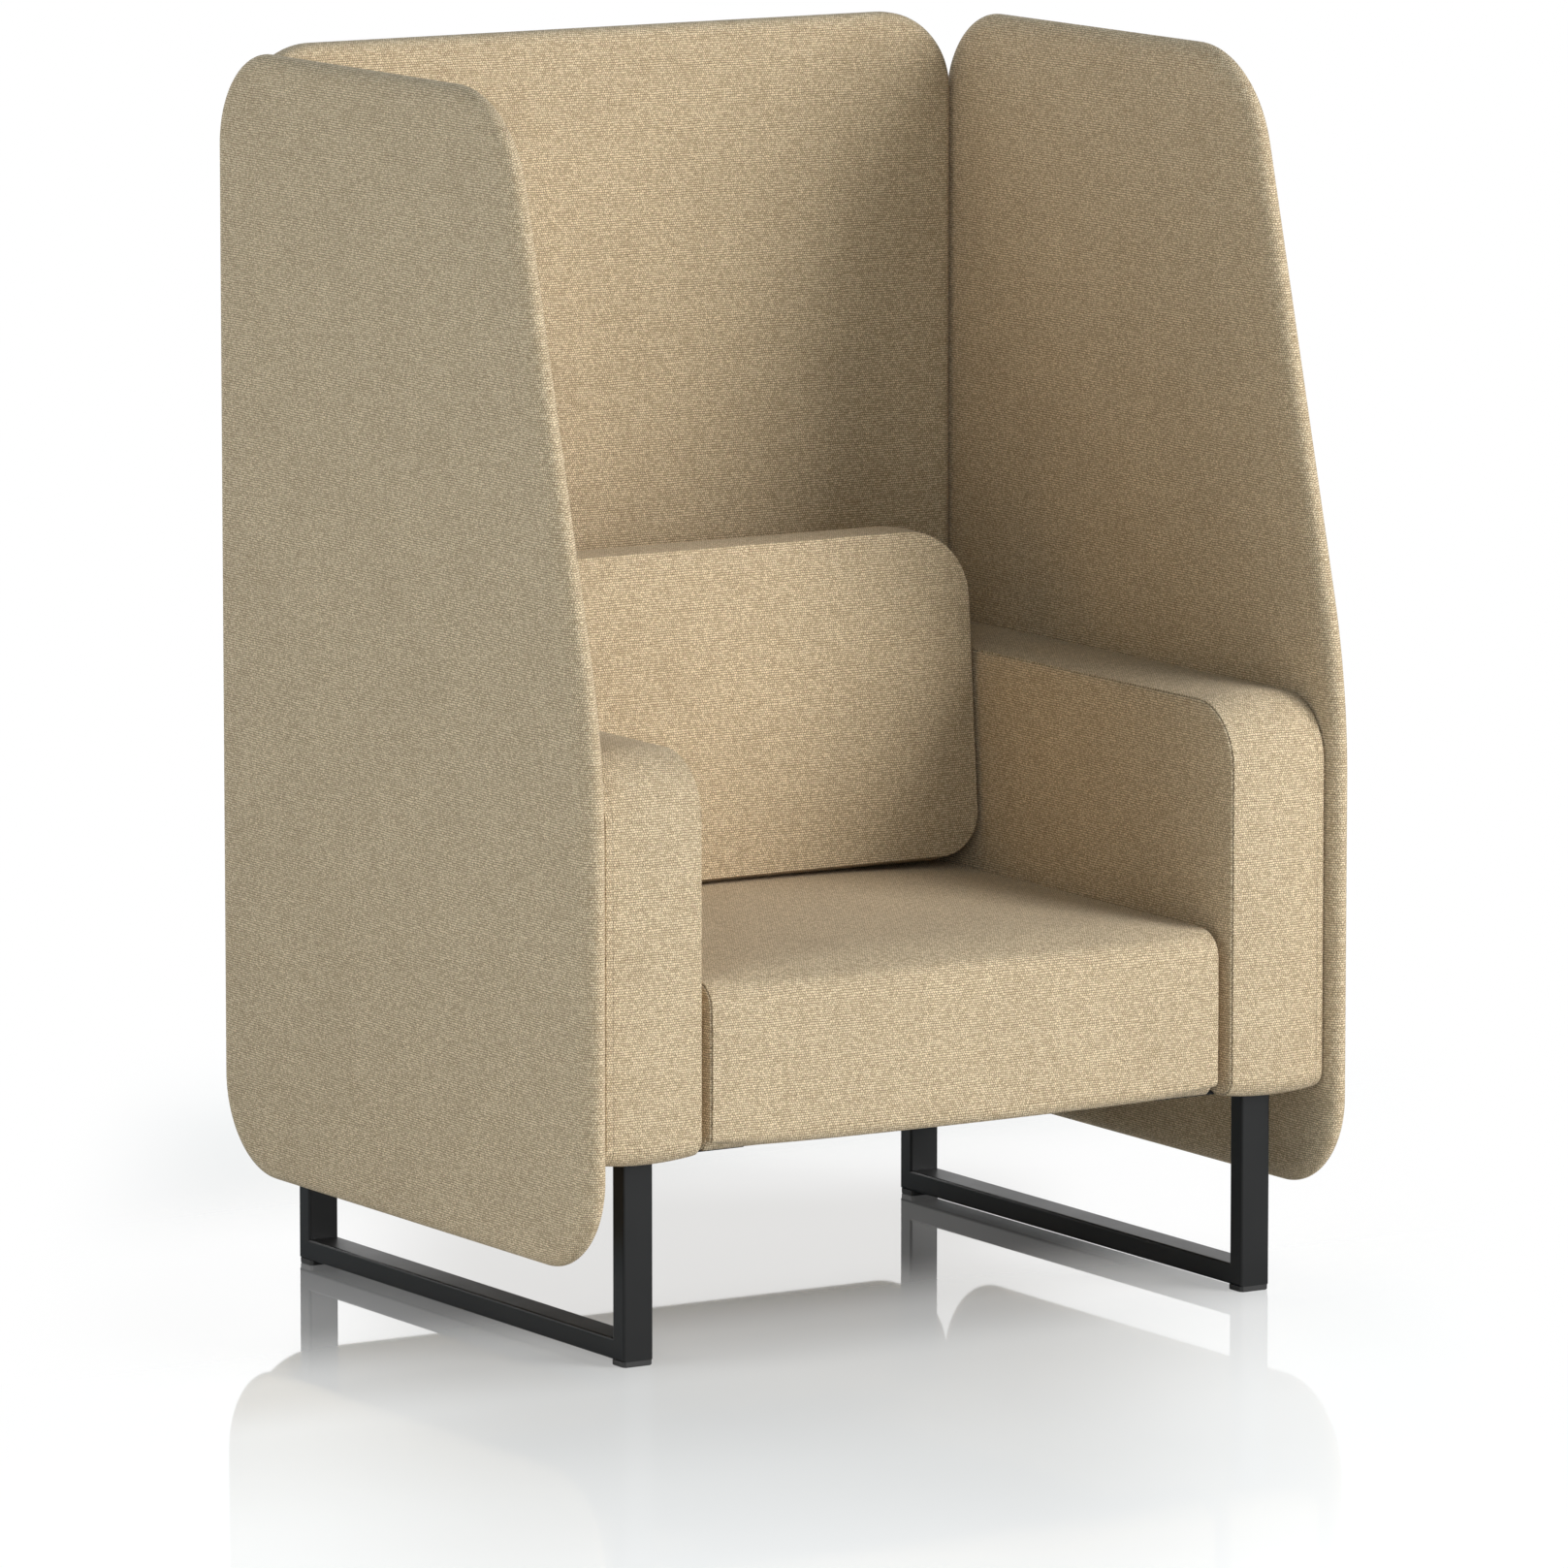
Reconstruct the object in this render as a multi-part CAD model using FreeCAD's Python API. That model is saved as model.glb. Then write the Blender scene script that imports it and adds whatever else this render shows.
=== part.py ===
import FreeCAD, Part
import math
import os

from FreeCAD import Vector

os.makedirs("parts", exist_ok=True)

# Privacy booth sofa. Millimetres, +Z up, the sitter faces -Y, origin on the
# floor under the middle of the outer box.

# Overall size
overall_width = 1050.0
overall_depth = 864.0
overall_height = 1463.0

# Privacy panels: a plywood core with a foam and fabric pad on each face
panel_thickness = 32.0
panel_bottom = 118.0
panel_corner_radius = 115.0
panel_front_top_radius = 149.0
panel_slant_degrees = 15.1
panel_bend_height = 723.5
panel_bend_radius = 850.0
back_panel_corner_radius = 98.0
back_panel_rear_edge = 6.0
core_thickness = 16.0
core_inset = 8.0
rim_steps = 3

# Sled legs in rectangular steel tube
tube_width = 40.0
tube_depth = 25.0
tube_wall = 2.0
tube_corner = 3.0
leg_centre_x = 427.5
leg_front_y = -375.0
leg_rear_y = 380.0
glide_height = 6.5
glide_depth = 28.5
glide_corner = 3.0
glide_chamfer = 0.8
peg_radius = 4.5
peg_length = 5.0

# Mounting plates welded on the leg tops
plate_top = 247.0
plate_thickness = 4.0
plate_inner_x = 283.0
plate_outer_x = 447.5
plate_depth = 80.0
plate_corner = 5.0

# Arms
arm_inner_x = 364.5
arm_outer_x = 492.6
arm_front_y = -415.0
arm_rear_y = 399.6
arm_bottom = 244.5
arm_top = 711.0
arm_top_crown = 7.0
arm_front_crown = 3.0
arm_bottom_crown = 5.0
arm_front_top_radius = 76.0
arm_front_bottom_radius = 22.0
facing_thickness = 2.0
facing_inset = 1.2
arm_board = 12.0
arm_frame_front_y = -378.0
arm_frame_rear_y = 380.0
arm_frame_top = 678.0
arm_rail = 30.0

# Seat
seat_half_width = 351.0
seat_front_y = -410.0
seat_rear_y = 229.0
seat_bottom = 250.0
seat_bottom_crown = 4.0
seat_edge_top = 444.0
seat_side_crown = 4.0
seat_crown = 11.0
seat_edge_crown = 3.0
seat_front_crown = 2.0
seat_front_top_radius = 32.0
seat_front_bottom_radius = 14.0
rail_height = 75.0
rail_thickness = 28.0
rail_front_y = -384.0
rail_rear_y = 388.0
webbing_rail_y = 190.0
webbing_thickness = 2.0
webbing_width = 50.0
strap_end = 4.0
dust_cover_half = 280.0
dust_cover_thickness = 1.0
long_strap_count = 6
long_strap_pitch = 110.0
cross_strap_count = 4
cross_strap_pitch = 120.0
cross_strap_start = -290.0

# Back cushion
back_half_width = 354.0
back_lean_degrees = 4.5
back_seam_bottom = 467.0
back_seam_top = 860.0
back_seam_y = 118.5
back_thickness = 118.0
back_top_radius = 85.0
back_bottom_radius = 52.0
back_crown = 20.0
back_crown_reach = 140.0
back_corner_shrink = 0.7
back_corner_steps = 6
back_rear_crown = 5.0
back_rear_inset = 45.0
boxing_crown = 5.0

# Back rest behind the cushion, with a timber frame inside
rest_half_width = 360.0
rest_top = 711.0
rest_rear_y = 399.6
rest_crown = 6.0
rest_top_radius = 40.0
rest_clearance = 0.6
rest_pocket_margin = 6.0
back_strap_heights = (465.0, 525.0, 585.0)
upright_inner_x = 270.0
upright_width = 40.0
upright_front_y = 330.0
upright_depth = 30.0
upright_top = 685.0
cross_rail_height = 40.0
lower_cross_rail_z = 340.0

# Fasteners
bolt_radius = 4.0
bolt_hole_radius = 4.6
head_radius = 7.5
head_height = 5.0
bolt_sides = 6
plate_bolt_length = 24.0
plate_bolt_reaches = (38.0, 68.0)
arm_plate_bolt_xs = (398.0, 432.0)
arm_bolt_spots = ((-290.0, 340.0), (-290.0, 610.0), (285.0, 340.0), (285.0, 610.0))
back_bolt_heights = (430.0, 620.0)
upright_bolt_heights = (268.0, 300.0)
bolt_end_gap = 2.0
cut_margin = 1.0

panel_half = panel_thickness / 2
panel_outer_x = overall_width / 2
panel_inner_x = panel_outer_x - panel_thickness
panel_mid_x = panel_outer_x - panel_half
panel_front_y = -overall_depth / 2
panel_rear_y = overall_depth / 2
back_panel_mid_y = panel_rear_y - panel_half
back_panel_front_y = panel_rear_y - panel_thickness
back_panel_half_width = panel_inner_x - 0.3
plate_bottom = plate_top - plate_thickness
side_axis = Vector(1, 0, 0)
rear_axis = Vector(0, 1, 0)
up_axis = Vector(0, 0, 1)


def unit(a, b):
    """Direction and length from point a to point b in a plane."""
    length = math.hypot(b[0] - a[0], b[1] - a[1])
    return ((b[0] - a[0]) / length, (b[1] - a[1]) / length), length


def corner_points(before, here, after, radius):
    """Start, middle and end of the arc that rounds one corner."""
    to_before, _ = unit(here, before)
    to_after, _ = unit(here, after)
    half = math.acos(to_before[0] * to_after[0] + to_before[1] * to_after[1]) / 2
    reach = radius / math.tan(half)
    bisector, _ = unit((0, 0), (to_before[0] + to_after[0], to_before[1] + to_after[1]))
    depth = radius / math.sin(half) - radius
    start = (here[0] + to_before[0] * reach, here[1] + to_before[1] * reach)
    middle = (here[0] + bisector[0] * depth, here[1] + bisector[1] * depth)
    end = (here[0] + to_after[0] * reach, here[1] + to_after[1] * reach)
    return start, middle, end


def outline(corners, place, bulges=None):
    """Closed wire through counter-clockwise corners (u, v, radius).

    Each side runs from one corner to the next. A bulge bows that side
    outwards by the given amount.
    """
    count = len(corners)
    arcs = []
    for i in range(count):
        before = corners[i - 1]
        here = corners[i]
        after = corners[(i + 1) % count]
        if here[2] > 0:
            arcs.append(corner_points(before, here, after, here[2]))
        else:
            arcs.append((here[:2], None, here[:2]))
    edges = []
    for i in range(count):
        start, middle, end = arcs[i]
        if middle:
            edges.append(Part.Arc(place(*start), place(*middle), place(*end)).toShape())
        following = arcs[(i + 1) % count][0]
        along, length = unit(end, following)
        bulge = bulges[i] if bulges else 0.0
        if bulge:
            crest_u = (end[0] + following[0]) / 2 + along[1] * bulge
            crest_v = (end[1] + following[1]) / 2 - along[0] * bulge
            bow = Part.Arc(place(*end), place(crest_u, crest_v), place(*following))
            edges.append(bow.toShape())
        elif length > 1e-6:
            edges.append(Part.LineSegment(place(*end), place(*following)).toShape())
    return Part.Wire(edges)


def side_plane(x):
    """Places (y, z) on the upright plane at x."""
    return lambda u, v: Vector(x, u, v)


def front_plane(y):
    """Places (x, z) on the upright plane at y."""
    return lambda u, v: Vector(u, y, v)


def floor_plane(z):
    """Places (x, y) on the level plane at z."""
    return lambda u, v: Vector(u, v, z)


def slab(wire, direction):
    """Solid made by pushing a flat outline along a direction."""
    return Part.Face(wire).extrude(direction)


def loft(sections):
    """Closed solid through outlines, straight from each one to the next."""
    return Part.makeLoft(sections, True, True)


def box(x0, x1, y0, y1, z0, z1):
    """Solid block between two corners."""
    return Part.makeBox(x1 - x0, y1 - y0, z1 - z0, Vector(x0, y0, z0))


def rounded_box(x0, x1, y0, y1, z0, z1, radius):
    """Block with rounded upright edges."""
    corners = [(x0, y0, radius), (x1, y0, radius), (x1, y1, radius), (x0, y1, radius)]
    return slab(outline(corners, floor_plane(z0)), up_axis * (z1 - z0))


def mirrored(shape):
    """The same shape on the other side of the sofa."""
    return shape.mirror(Vector(0, 0, 0), side_axis)


def save(name, shape):
    """Write one named piece."""
    shape.exportStep("parts/" + name + ".step")


def save_pair(name, right):
    """Write a right-hand piece and its mirror image."""
    save("right_" + name, right)
    save("left_" + name, mirrored(right))


def both_sides(shapes):
    """Right-hand solids together with their mirror images."""
    return shapes + [mirrored(shape) for shape in shapes]


# Fasteners: flat-sided bars along one of the three axes
def bar(radius, sides, start, axis, length):
    """Bar with flat sides, from a start point along an axis."""
    across = Vector(axis.z, axis.x, axis.y)
    upward = axis.cross(across)
    points = []
    for i in range(sides + 1):
        turn = 2 * math.pi * (i + 0.5) / sides
        points.append(start + across * (radius * math.cos(turn)) + upward * (radius * math.sin(turn)))
    return slab(Part.makePolygon(points), axis * length)


def hex_bolt(start, axis, length):
    """Bolt whose six-sided head sits just before the start point."""
    head = bar(head_radius, 6, start - axis * head_height, axis, head_height)
    return head.fuse(bar(bolt_radius, bolt_sides, start, axis, length))


def drill(shape, spots, axis, start, end):
    """Cut a bolt hole along an axis at each spot, between two distances."""
    for spot in spots:
        foot = spot - axis * spot.dot(axis)
        shape = shape.cut(bar(bolt_hole_radius, bolt_sides, foot + axis * start, axis, end - start))
    return shape


# Sled legs: two uprights mitred into a floor rail on each side
def tube_section(place, first, second):
    """Hollow rectangular section between two opposite corners."""
    def ring(inset, radius):
        a = (first[0] + inset, first[1] + inset, radius)
        b = (second[0] - inset, first[1] + inset, radius)
        c = (second[0] - inset, second[1] - inset, radius)
        d = (first[0] + inset, second[1] - inset, radius)
        return outline([a, b, c, d], place)
    outer = Part.Face(ring(0.0, tube_corner))
    return outer.cut(Part.Face(ring(tube_wall, 0.0)))


def mitre_wedge(corner_y, inward, keep_upright):
    """Prism that trims a tube end to the 45 degree mitre plane."""
    x0 = leg_centre_x - tube_width
    low = (corner_y - inward, glide_height - 1.0)
    high = (corner_y + inward * (tube_depth + 1.0), glide_height + tube_depth + 1.0)
    third = (high[0], low[1]) if keep_upright else (low[0], high[1])
    points = [Vector(x0, *p) for p in (low, high, third, low)]
    return slab(Part.makePolygon(points), side_axis * (2 * tube_width))


tube_x0 = leg_centre_x - tube_width / 2
tube_x1 = leg_centre_x + tube_width / 2
rail_z1 = glide_height + tube_depth
glide_ys = (leg_front_y + glide_depth / 2, leg_rear_y - glide_depth / 2)

rail_face = tube_section(front_plane(leg_front_y), (tube_x0, glide_height), (tube_x1, rail_z1))
floor_rail = rail_face.extrude(rear_axis * (leg_rear_y - leg_front_y))
floor_rail = floor_rail.cut(mitre_wedge(leg_front_y, 1.0, False))
floor_rail = floor_rail.cut(mitre_wedge(leg_rear_y, -1.0, False))
for glide_y in glide_ys:
    foot = Vector(leg_centre_x, glide_y, 0)
    floor_rail = floor_rail.cut(bar(peg_radius + 0.2, bolt_sides, foot, up_axis, glide_height + peg_length))
save_pair("floor_rail", floor_rail)

for name, corner_y, inward in (("front_leg", leg_front_y, 1.0), ("rear_leg", leg_rear_y, -1.0)):
    y0 = min(corner_y, corner_y + inward * tube_depth)
    leg_face = tube_section(floor_plane(glide_height), (tube_x0, y0), (tube_x1, y0 + tube_depth))
    leg = leg_face.extrude(up_axis * (plate_bottom - glide_height))
    save_pair(name, leg.cut(mitre_wedge(corner_y, inward, True)))


def glide_outline(y, z, inset):
    """Outline of a glide with cut corners, drawn in by an inset."""
    x0 = tube_x0 + 0.5 + inset
    x1 = tube_x1 - 0.5 - inset
    y0 = y - glide_depth / 2 + inset
    y1 = y + glide_depth / 2 - inset
    c = glide_corner
    points = [(x0 + c, y0), (x1 - c, y0), (x1, y0 + c), (x1, y1 - c),
              (x1 - c, y1), (x0 + c, y1), (x0, y1 - c), (x0, y0 + c), (x0 + c, y0)]
    return Part.makePolygon([Vector(px, py, z) for px, py in points])


for name, glide_y in zip(("front_glide", "rear_glide"), glide_ys):
    glide = loft([
        glide_outline(glide_y, 0.0, glide_chamfer),
        glide_outline(glide_y, glide_chamfer, 0.0),
        glide_outline(glide_y, glide_height, 0.0),
    ])
    peg_foot = Vector(leg_centre_x, glide_y, glide_height - 1.0)
    save_pair(name, glide.fuse(bar(peg_radius, bolt_sides, peg_foot, up_axis, peg_length)))


# Mounting plates, bolted up into the arm and seat timber
def plate_bolt_spots(y0, inward):
    """Four bolt places on one plate, clear of the tube under it."""
    near_y, far_y = [y0 + inward * reach for reach in plate_bolt_reaches]
    side_rail_x = seat_half_width - facing_thickness - rail_thickness / 2
    places = [(side_rail_x, near_y), (side_rail_x, far_y)]
    places += [(x, far_y) for x in arm_plate_bolt_xs]
    return [Vector(x, y, plate_bottom) for x, y in places]


plate_spots = []
plate_notches = []
for name, y0, inward in (("front_plate", leg_front_y, 1.0), ("rear_plate", leg_rear_y, -1.0)):
    low_y, high_y = sorted((y0, y0 + inward * plate_depth))
    spots = plate_bolt_spots(y0, inward)
    plate = rounded_box(plate_inner_x, plate_outer_x, low_y, high_y, plate_bottom, plate_top, plate_corner)
    save_pair(name, drill(plate, spots, up_axis, plate_bottom - cut_margin, plate_top + cut_margin))
    plate_spots += spots
    plate_notches.append(
        box(plate_inner_x, plate_outer_x + 0.5, low_y - 0.3, high_y + 0.3, plate_bottom - 10.0, plate_top))
plate_bolts = [hex_bolt(spot, up_axis, plate_bolt_length) for spot in plate_spots]
save("plate_bolts", Part.makeCompound(both_sides(plate_bolts)))

# Bolts that tie the arms to the side panels and the back frame to the back panel
core_inner_x = panel_mid_x - core_thickness / 2
core_front_y = back_panel_mid_y - core_thickness / 2
band_x0 = arm_inner_x + facing_thickness
band_x1 = arm_outer_x - facing_thickness
upright_mid_x = upright_inner_x + upright_width / 2
side_spots = [Vector(band_x1 - arm_board, y, z) for y, z in arm_bolt_spots]
back_spots = [Vector(upright_mid_x, upright_front_y, z) for z in back_bolt_heights]
side_bolt_length = core_inner_x + core_thickness - side_spots[0].x - bolt_end_gap
back_bolt_length = core_front_y + core_thickness - upright_front_y - bolt_end_gap

panel_bolts = [hex_bolt(spot, side_axis, side_bolt_length) for spot in side_spots]
panel_bolts += [hex_bolt(spot, rear_axis, back_bolt_length) for spot in back_spots]
save("panel_bolts", Part.makeCompound(both_sides(panel_bolts)))


# Side panels: one outline with a slanted upper front edge
def side_panel_corners(inset):
    """Corners of the side panel outline, moved inwards by an inset."""
    slope = math.tan(math.radians(panel_slant_degrees))
    front = panel_front_y + inset
    rear = panel_rear_y - inset
    low = panel_bottom + inset
    high = overall_height - inset
    bend = panel_bend_height - inset * math.tan(math.radians(panel_slant_degrees / 2))
    tip = front + (high - bend) * slope
    round_corner = panel_corner_radius - inset
    return [
        (front, low, round_corner),
        (rear, low, round_corner),
        (rear, high, round_corner),
        (tip, high, panel_front_top_radius - inset),
        (front, bend, panel_bend_radius - inset),
    ]


def back_panel_corners(inset):
    """Corners of the back panel outline, moved inwards by an inset."""
    reach = back_panel_half_width - inset
    low = panel_bottom + inset
    high = overall_height - inset
    radius = back_panel_corner_radius - inset
    return [(-reach, low, radius), (reach, low, radius), (reach, high, radius), (-reach, high, radius)]


def panel_pad(corners, plane, middle, outward, edge_radius):
    """Half of a panel, from its middle plane out, with a rounded outer rim."""
    sections = []
    if edge_radius < panel_half:
        sections.append(outline(corners(0.0), plane(middle)))
    for i in range(rim_steps + 1):
        turn = math.pi / 2 * i / rim_steps
        depth = panel_half - edge_radius + edge_radius * math.sin(turn)
        inset = edge_radius * (1 - math.cos(turn))
        sections.append(outline(corners(inset), plane(middle + outward * depth)))
    return loft(sections)


core_wire = outline(side_panel_corners(core_inset), side_plane(core_inner_x))
side_core = slab(core_wire, side_axis * core_thickness)
outer_pad = panel_pad(side_panel_corners, side_plane, panel_mid_x, 1.0, panel_half)
inner_pad = panel_pad(side_panel_corners, side_plane, panel_mid_x, -1.0, panel_half)
save_pair("panel_outer_pad", outer_pad.cut(side_core))
inner_pad = inner_pad.cut(side_core)
save_pair("panel_inner_pad", drill(inner_pad, side_spots, side_axis, panel_inner_x - cut_margin, panel_mid_x))
core_end_x = core_inner_x + core_thickness - cut_margin
save_pair("panel_core", drill(side_core, side_spots, side_axis, core_inner_x - cut_margin, core_end_x))

# Back panel: fits between the side panels
all_back_spots = back_spots + [Vector(-spot.x, spot.y, spot.z) for spot in back_spots]
back_core_wire = outline(back_panel_corners(core_inset), front_plane(core_front_y))
back_core = slab(back_core_wire, rear_axis * core_thickness)
rear_pad = panel_pad(back_panel_corners, front_plane, back_panel_mid_y, 1.0, back_panel_rear_edge)
front_pad = panel_pad(back_panel_corners, front_plane, back_panel_mid_y, -1.0, panel_half)
save("back_panel_rear_pad", rear_pad.cut(back_core))
front_pad = front_pad.cut(back_core)
front_pad = drill(front_pad, all_back_spots, rear_axis, back_panel_front_y - cut_margin, back_panel_mid_y)
save("back_panel_front_pad", front_pad)
core_end_y = core_front_y + core_thickness - cut_margin
save("back_panel_core", drill(back_core, all_back_spots, rear_axis, core_front_y - cut_margin, core_end_y))


# Arms: a plywood and timber box, a crowned band round it and a facing on each side
def arm_corners(swell, inset):
    """Corners of the arm outline, swollen by a share and drawn in by an inset."""
    front = arm_front_y - arm_front_crown * swell + inset
    low = arm_bottom - arm_bottom_crown * swell + inset
    top = arm_top + arm_top_crown * swell - inset
    return [
        (front, low, arm_front_bottom_radius - inset),
        (arm_rear_y - inset, low, 0.0),
        (arm_rear_y - inset, top, 0.0),
        (front, top, arm_front_top_radius - inset),
    ]


def swell_at(s):
    """Crown of a sewn band at a share of its half width from the middle."""
    return 1 - s * s


band_mid = (band_x0 + band_x1) / 2
band_half = (band_x1 - band_x0) / 2
band_stations = (-1.0, -0.85, -0.6, -0.3, 0.0, 0.3, 0.6, 0.85, 1.0)
arm_sections = []
for s in band_stations:
    arm_sections.append(outline(arm_corners(swell_at(s), 0.0), side_plane(band_mid + s * band_half)))
arm_pocket = box(
    band_x0 - 5.0, band_x1 + 5.0,
    arm_frame_front_y, arm_frame_rear_y, plate_top, arm_frame_top)
arm_band = loft(arm_sections).cut(arm_pocket)
for notch in plate_notches:
    arm_band = arm_band.cut(notch)
save_pair("arm_band", arm_band)

facing_wire = outline(arm_corners(0.0, facing_inset), side_plane(arm_inner_x))
inner_facing = slab(facing_wire, side_axis * facing_thickness)
for notch in plate_notches:
    inner_facing = inner_facing.cut(notch)
save_pair("arm_inner_facing", inner_facing)
outer_facing_wire = outline(arm_corners(0.0, facing_inset), side_plane(band_x1))
outer_facing = slab(outer_facing_wire, side_axis * facing_thickness)
outer_facing = drill(outer_facing, side_spots, side_axis, band_x1 - cut_margin, arm_outer_x + cut_margin)
save_pair("arm_outer_facing", outer_facing)


inner_board = box(
    band_x0, band_x0 + arm_board, arm_frame_front_y, arm_frame_rear_y, plate_top, arm_frame_top)
outer_board = box(
    band_x1 - arm_board, band_x1, arm_frame_front_y, arm_frame_rear_y, plate_top, arm_frame_top)
save_pair("arm_inner_board", inner_board)
board_drill_start = side_spots[0].x - cut_margin
outer_board = drill(outer_board, side_spots, side_axis, board_drill_start, band_x1 + cut_margin)
save_pair("arm_outer_board", outer_board)

rail_x0 = band_x0 + arm_board
rail_x1 = band_x1 - arm_board
low_rail_top = plate_top + arm_rail
high_rail_bottom = arm_frame_top - arm_rail
arm_spots = [spot for spot in plate_spots if spot.x > arm_inner_x]
low_arm_rail = box(rail_x0, rail_x1, arm_frame_front_y, arm_frame_rear_y, plate_top, low_rail_top)
plate_hole_top = plate_bottom + plate_bolt_length + cut_margin
low_arm_rail = drill(low_arm_rail, arm_spots, up_axis, plate_top - cut_margin, plate_hole_top)
high_arm_rail = box(rail_x0, rail_x1, arm_frame_front_y, arm_frame_rear_y, high_rail_bottom, arm_frame_top)
front_arm_post = box(
    rail_x0, rail_x1, arm_frame_front_y, arm_frame_front_y + arm_rail, low_rail_top, high_rail_bottom)
rear_arm_post = box(
    rail_x0, rail_x1, arm_frame_rear_y - arm_rail, arm_frame_rear_y, low_rail_top, high_rail_bottom)
save_pair("arm_rails", Part.makeCompound([low_arm_rail, high_arm_rail, front_arm_post, rear_arm_post]))


# Seat: timber frame, webbing, crowned cushion and a facing on each side
def seat_corners(swell, inset):
    """Corners of the seat outline, swollen by a share and drawn in by an inset."""
    front = seat_front_y - seat_front_crown * swell + inset
    low = seat_bottom - seat_bottom_crown * swell + inset
    top = seat_edge_top + seat_side_crown * swell - inset
    return [
        (front, low, seat_front_bottom_radius - inset),
        (seat_rear_y - inset, low, 0.0),
        (seat_rear_y - inset, top, 0.0),
        (front, top, seat_front_top_radius - inset),
    ]


seat_band_half = seat_half_width - facing_thickness
seat_frame_top = plate_top + rail_height
seat_stations = (-1.0, -0.93, -0.78, -0.55, -0.28, 0.0, 0.28, 0.55, 0.78, 0.93, 1.0)
seat_sections = []
for s in seat_stations:
    swell = swell_at(s)
    bows = [0.0, 0.0, seat_edge_crown + (seat_crown - seat_edge_crown) * swell, 1.0 + 1.5 * swell]
    seat_sections.append(outline(seat_corners(swell, 0.0), side_plane(s * seat_band_half), bows))
seat_pocket = box(
    -seat_half_width, seat_half_width, rail_front_y, seat_rear_y + 10.0,
    seat_bottom - 20.0, seat_frame_top + 2 * webbing_thickness + 0.2)
save("seat_cushion", loft(seat_sections).cut(seat_pocket))
seat_facing_wire = outline(seat_corners(0.0, facing_inset), side_plane(seat_band_half))
save_pair("seat_facing", slab(seat_facing_wire, side_axis * facing_thickness))

side_rail_x0 = seat_band_half - rail_thickness
inner_rear_y = rail_rear_y - rail_thickness
inner_front_y = rail_front_y + rail_thickness
front_rail = box(-seat_band_half, seat_band_half, rail_front_y, inner_front_y, plate_top, seat_frame_top)
rear_rail = box(-seat_band_half, seat_band_half, inner_rear_y, rail_rear_y, plate_top, seat_frame_top)
side_rail = box(side_rail_x0, seat_band_half, inner_front_y, inner_rear_y, plate_top, seat_frame_top)
webbing_rail = box(
    -side_rail_x0, side_rail_x0, webbing_rail_y, webbing_rail_y + rail_thickness, plate_top, seat_frame_top)
seat_spots = [spot for spot in plate_spots if spot.x < arm_inner_x]
save("seat_front_rail", front_rail)
save_pair("seat_side_rail", drill(side_rail, seat_spots, up_axis, plate_top - cut_margin, plate_hole_top))
save("seat_webbing_rail", webbing_rail)

upright_spots = [Vector(upright_mid_x, upright_front_y, z) for z in upright_bolt_heights]
upright_bolt_length = upright_depth + rail_thickness - 4.0
upright_bolts = [hex_bolt(spot, rear_axis, upright_bolt_length) for spot in upright_spots]
all_upright_spots = upright_spots + [Vector(-spot.x, spot.y, spot.z) for spot in upright_spots]
rear_rail = drill(rear_rail, all_upright_spots, rear_axis, inner_rear_y - cut_margin, rail_rear_y - 3.0)
save("seat_rear_rail", rear_rail)
save("upright_bolts", Part.makeCompound(both_sides(upright_bolts)))

long_straps = []
for i in range(long_strap_count):
    centre = (i - (long_strap_count - 1) / 2) * long_strap_pitch
    long_straps.append(
        box(centre - webbing_width / 2, centre + webbing_width / 2,
            rail_front_y + strap_end, webbing_rail_y + rail_thickness - strap_end,
            seat_frame_top, seat_frame_top + webbing_thickness))
save("seat_webbing", Part.makeCompound(long_straps))

cross_straps = []
for i in range(cross_strap_count):
    centre = cross_strap_start + i * cross_strap_pitch
    cross_straps.append(
        box(strap_end - seat_band_half, seat_band_half - strap_end,
            centre - webbing_width / 2, centre + webbing_width / 2,
            seat_frame_top + webbing_thickness, seat_frame_top + 2 * webbing_thickness))
save("seat_cross_webbing", Part.makeCompound(cross_straps))

dust_cover = box(
    -dust_cover_half, dust_cover_half,
    rail_front_y + strap_end, rail_rear_y - strap_end, plate_top - dust_cover_thickness, plate_top)
save("seat_dust_cover", dust_cover)

# Back cushion: leaning boxed cushion with a crowned face and a sewn seam round it
lean = math.radians(back_lean_degrees)
lean_up = Vector(0, math.sin(lean), math.cos(lean))
lean_out = Vector(0, -math.cos(lean), math.sin(lean))
seam_origin = Vector(0, back_seam_y, back_seam_bottom)
seam_height = (back_seam_top - back_seam_bottom) / math.cos(lean)


def back_ring(out, inset):
    """Cushion outline on the seam plane moved outwards, drawn in by an inset.

    Each corner is a quarter circle taken in equal turns about its centre.
    """
    reach = back_half_width - inset
    shrink = 1 - back_corner_shrink * max(inset, 0.0) / back_crown_reach
    low_radius = back_bottom_radius * shrink
    high_radius = back_top_radius * shrink
    low = inset
    high = seam_height - inset
    corners = (
        (reach - low_radius, low + low_radius, low_radius, -1),
        (reach - high_radius, high - high_radius, high_radius, 0),
        (high_radius - reach, high - high_radius, high_radius, 1),
        (low_radius - reach, low + low_radius, low_radius, 2),
    )
    points = []
    for centre_x, centre_v, radius, quarter in corners:
        for i in range(back_corner_steps + 1):
            turn = math.pi / 2 * (quarter + i / back_corner_steps)
            x = centre_x + radius * math.cos(turn)
            v = centre_v + radius * math.sin(turn)
            points.append(seam_origin + lean_up * v + lean_out * out + Vector(x, 0, 0))
    return Part.makePolygon(points + points[:1])


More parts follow.
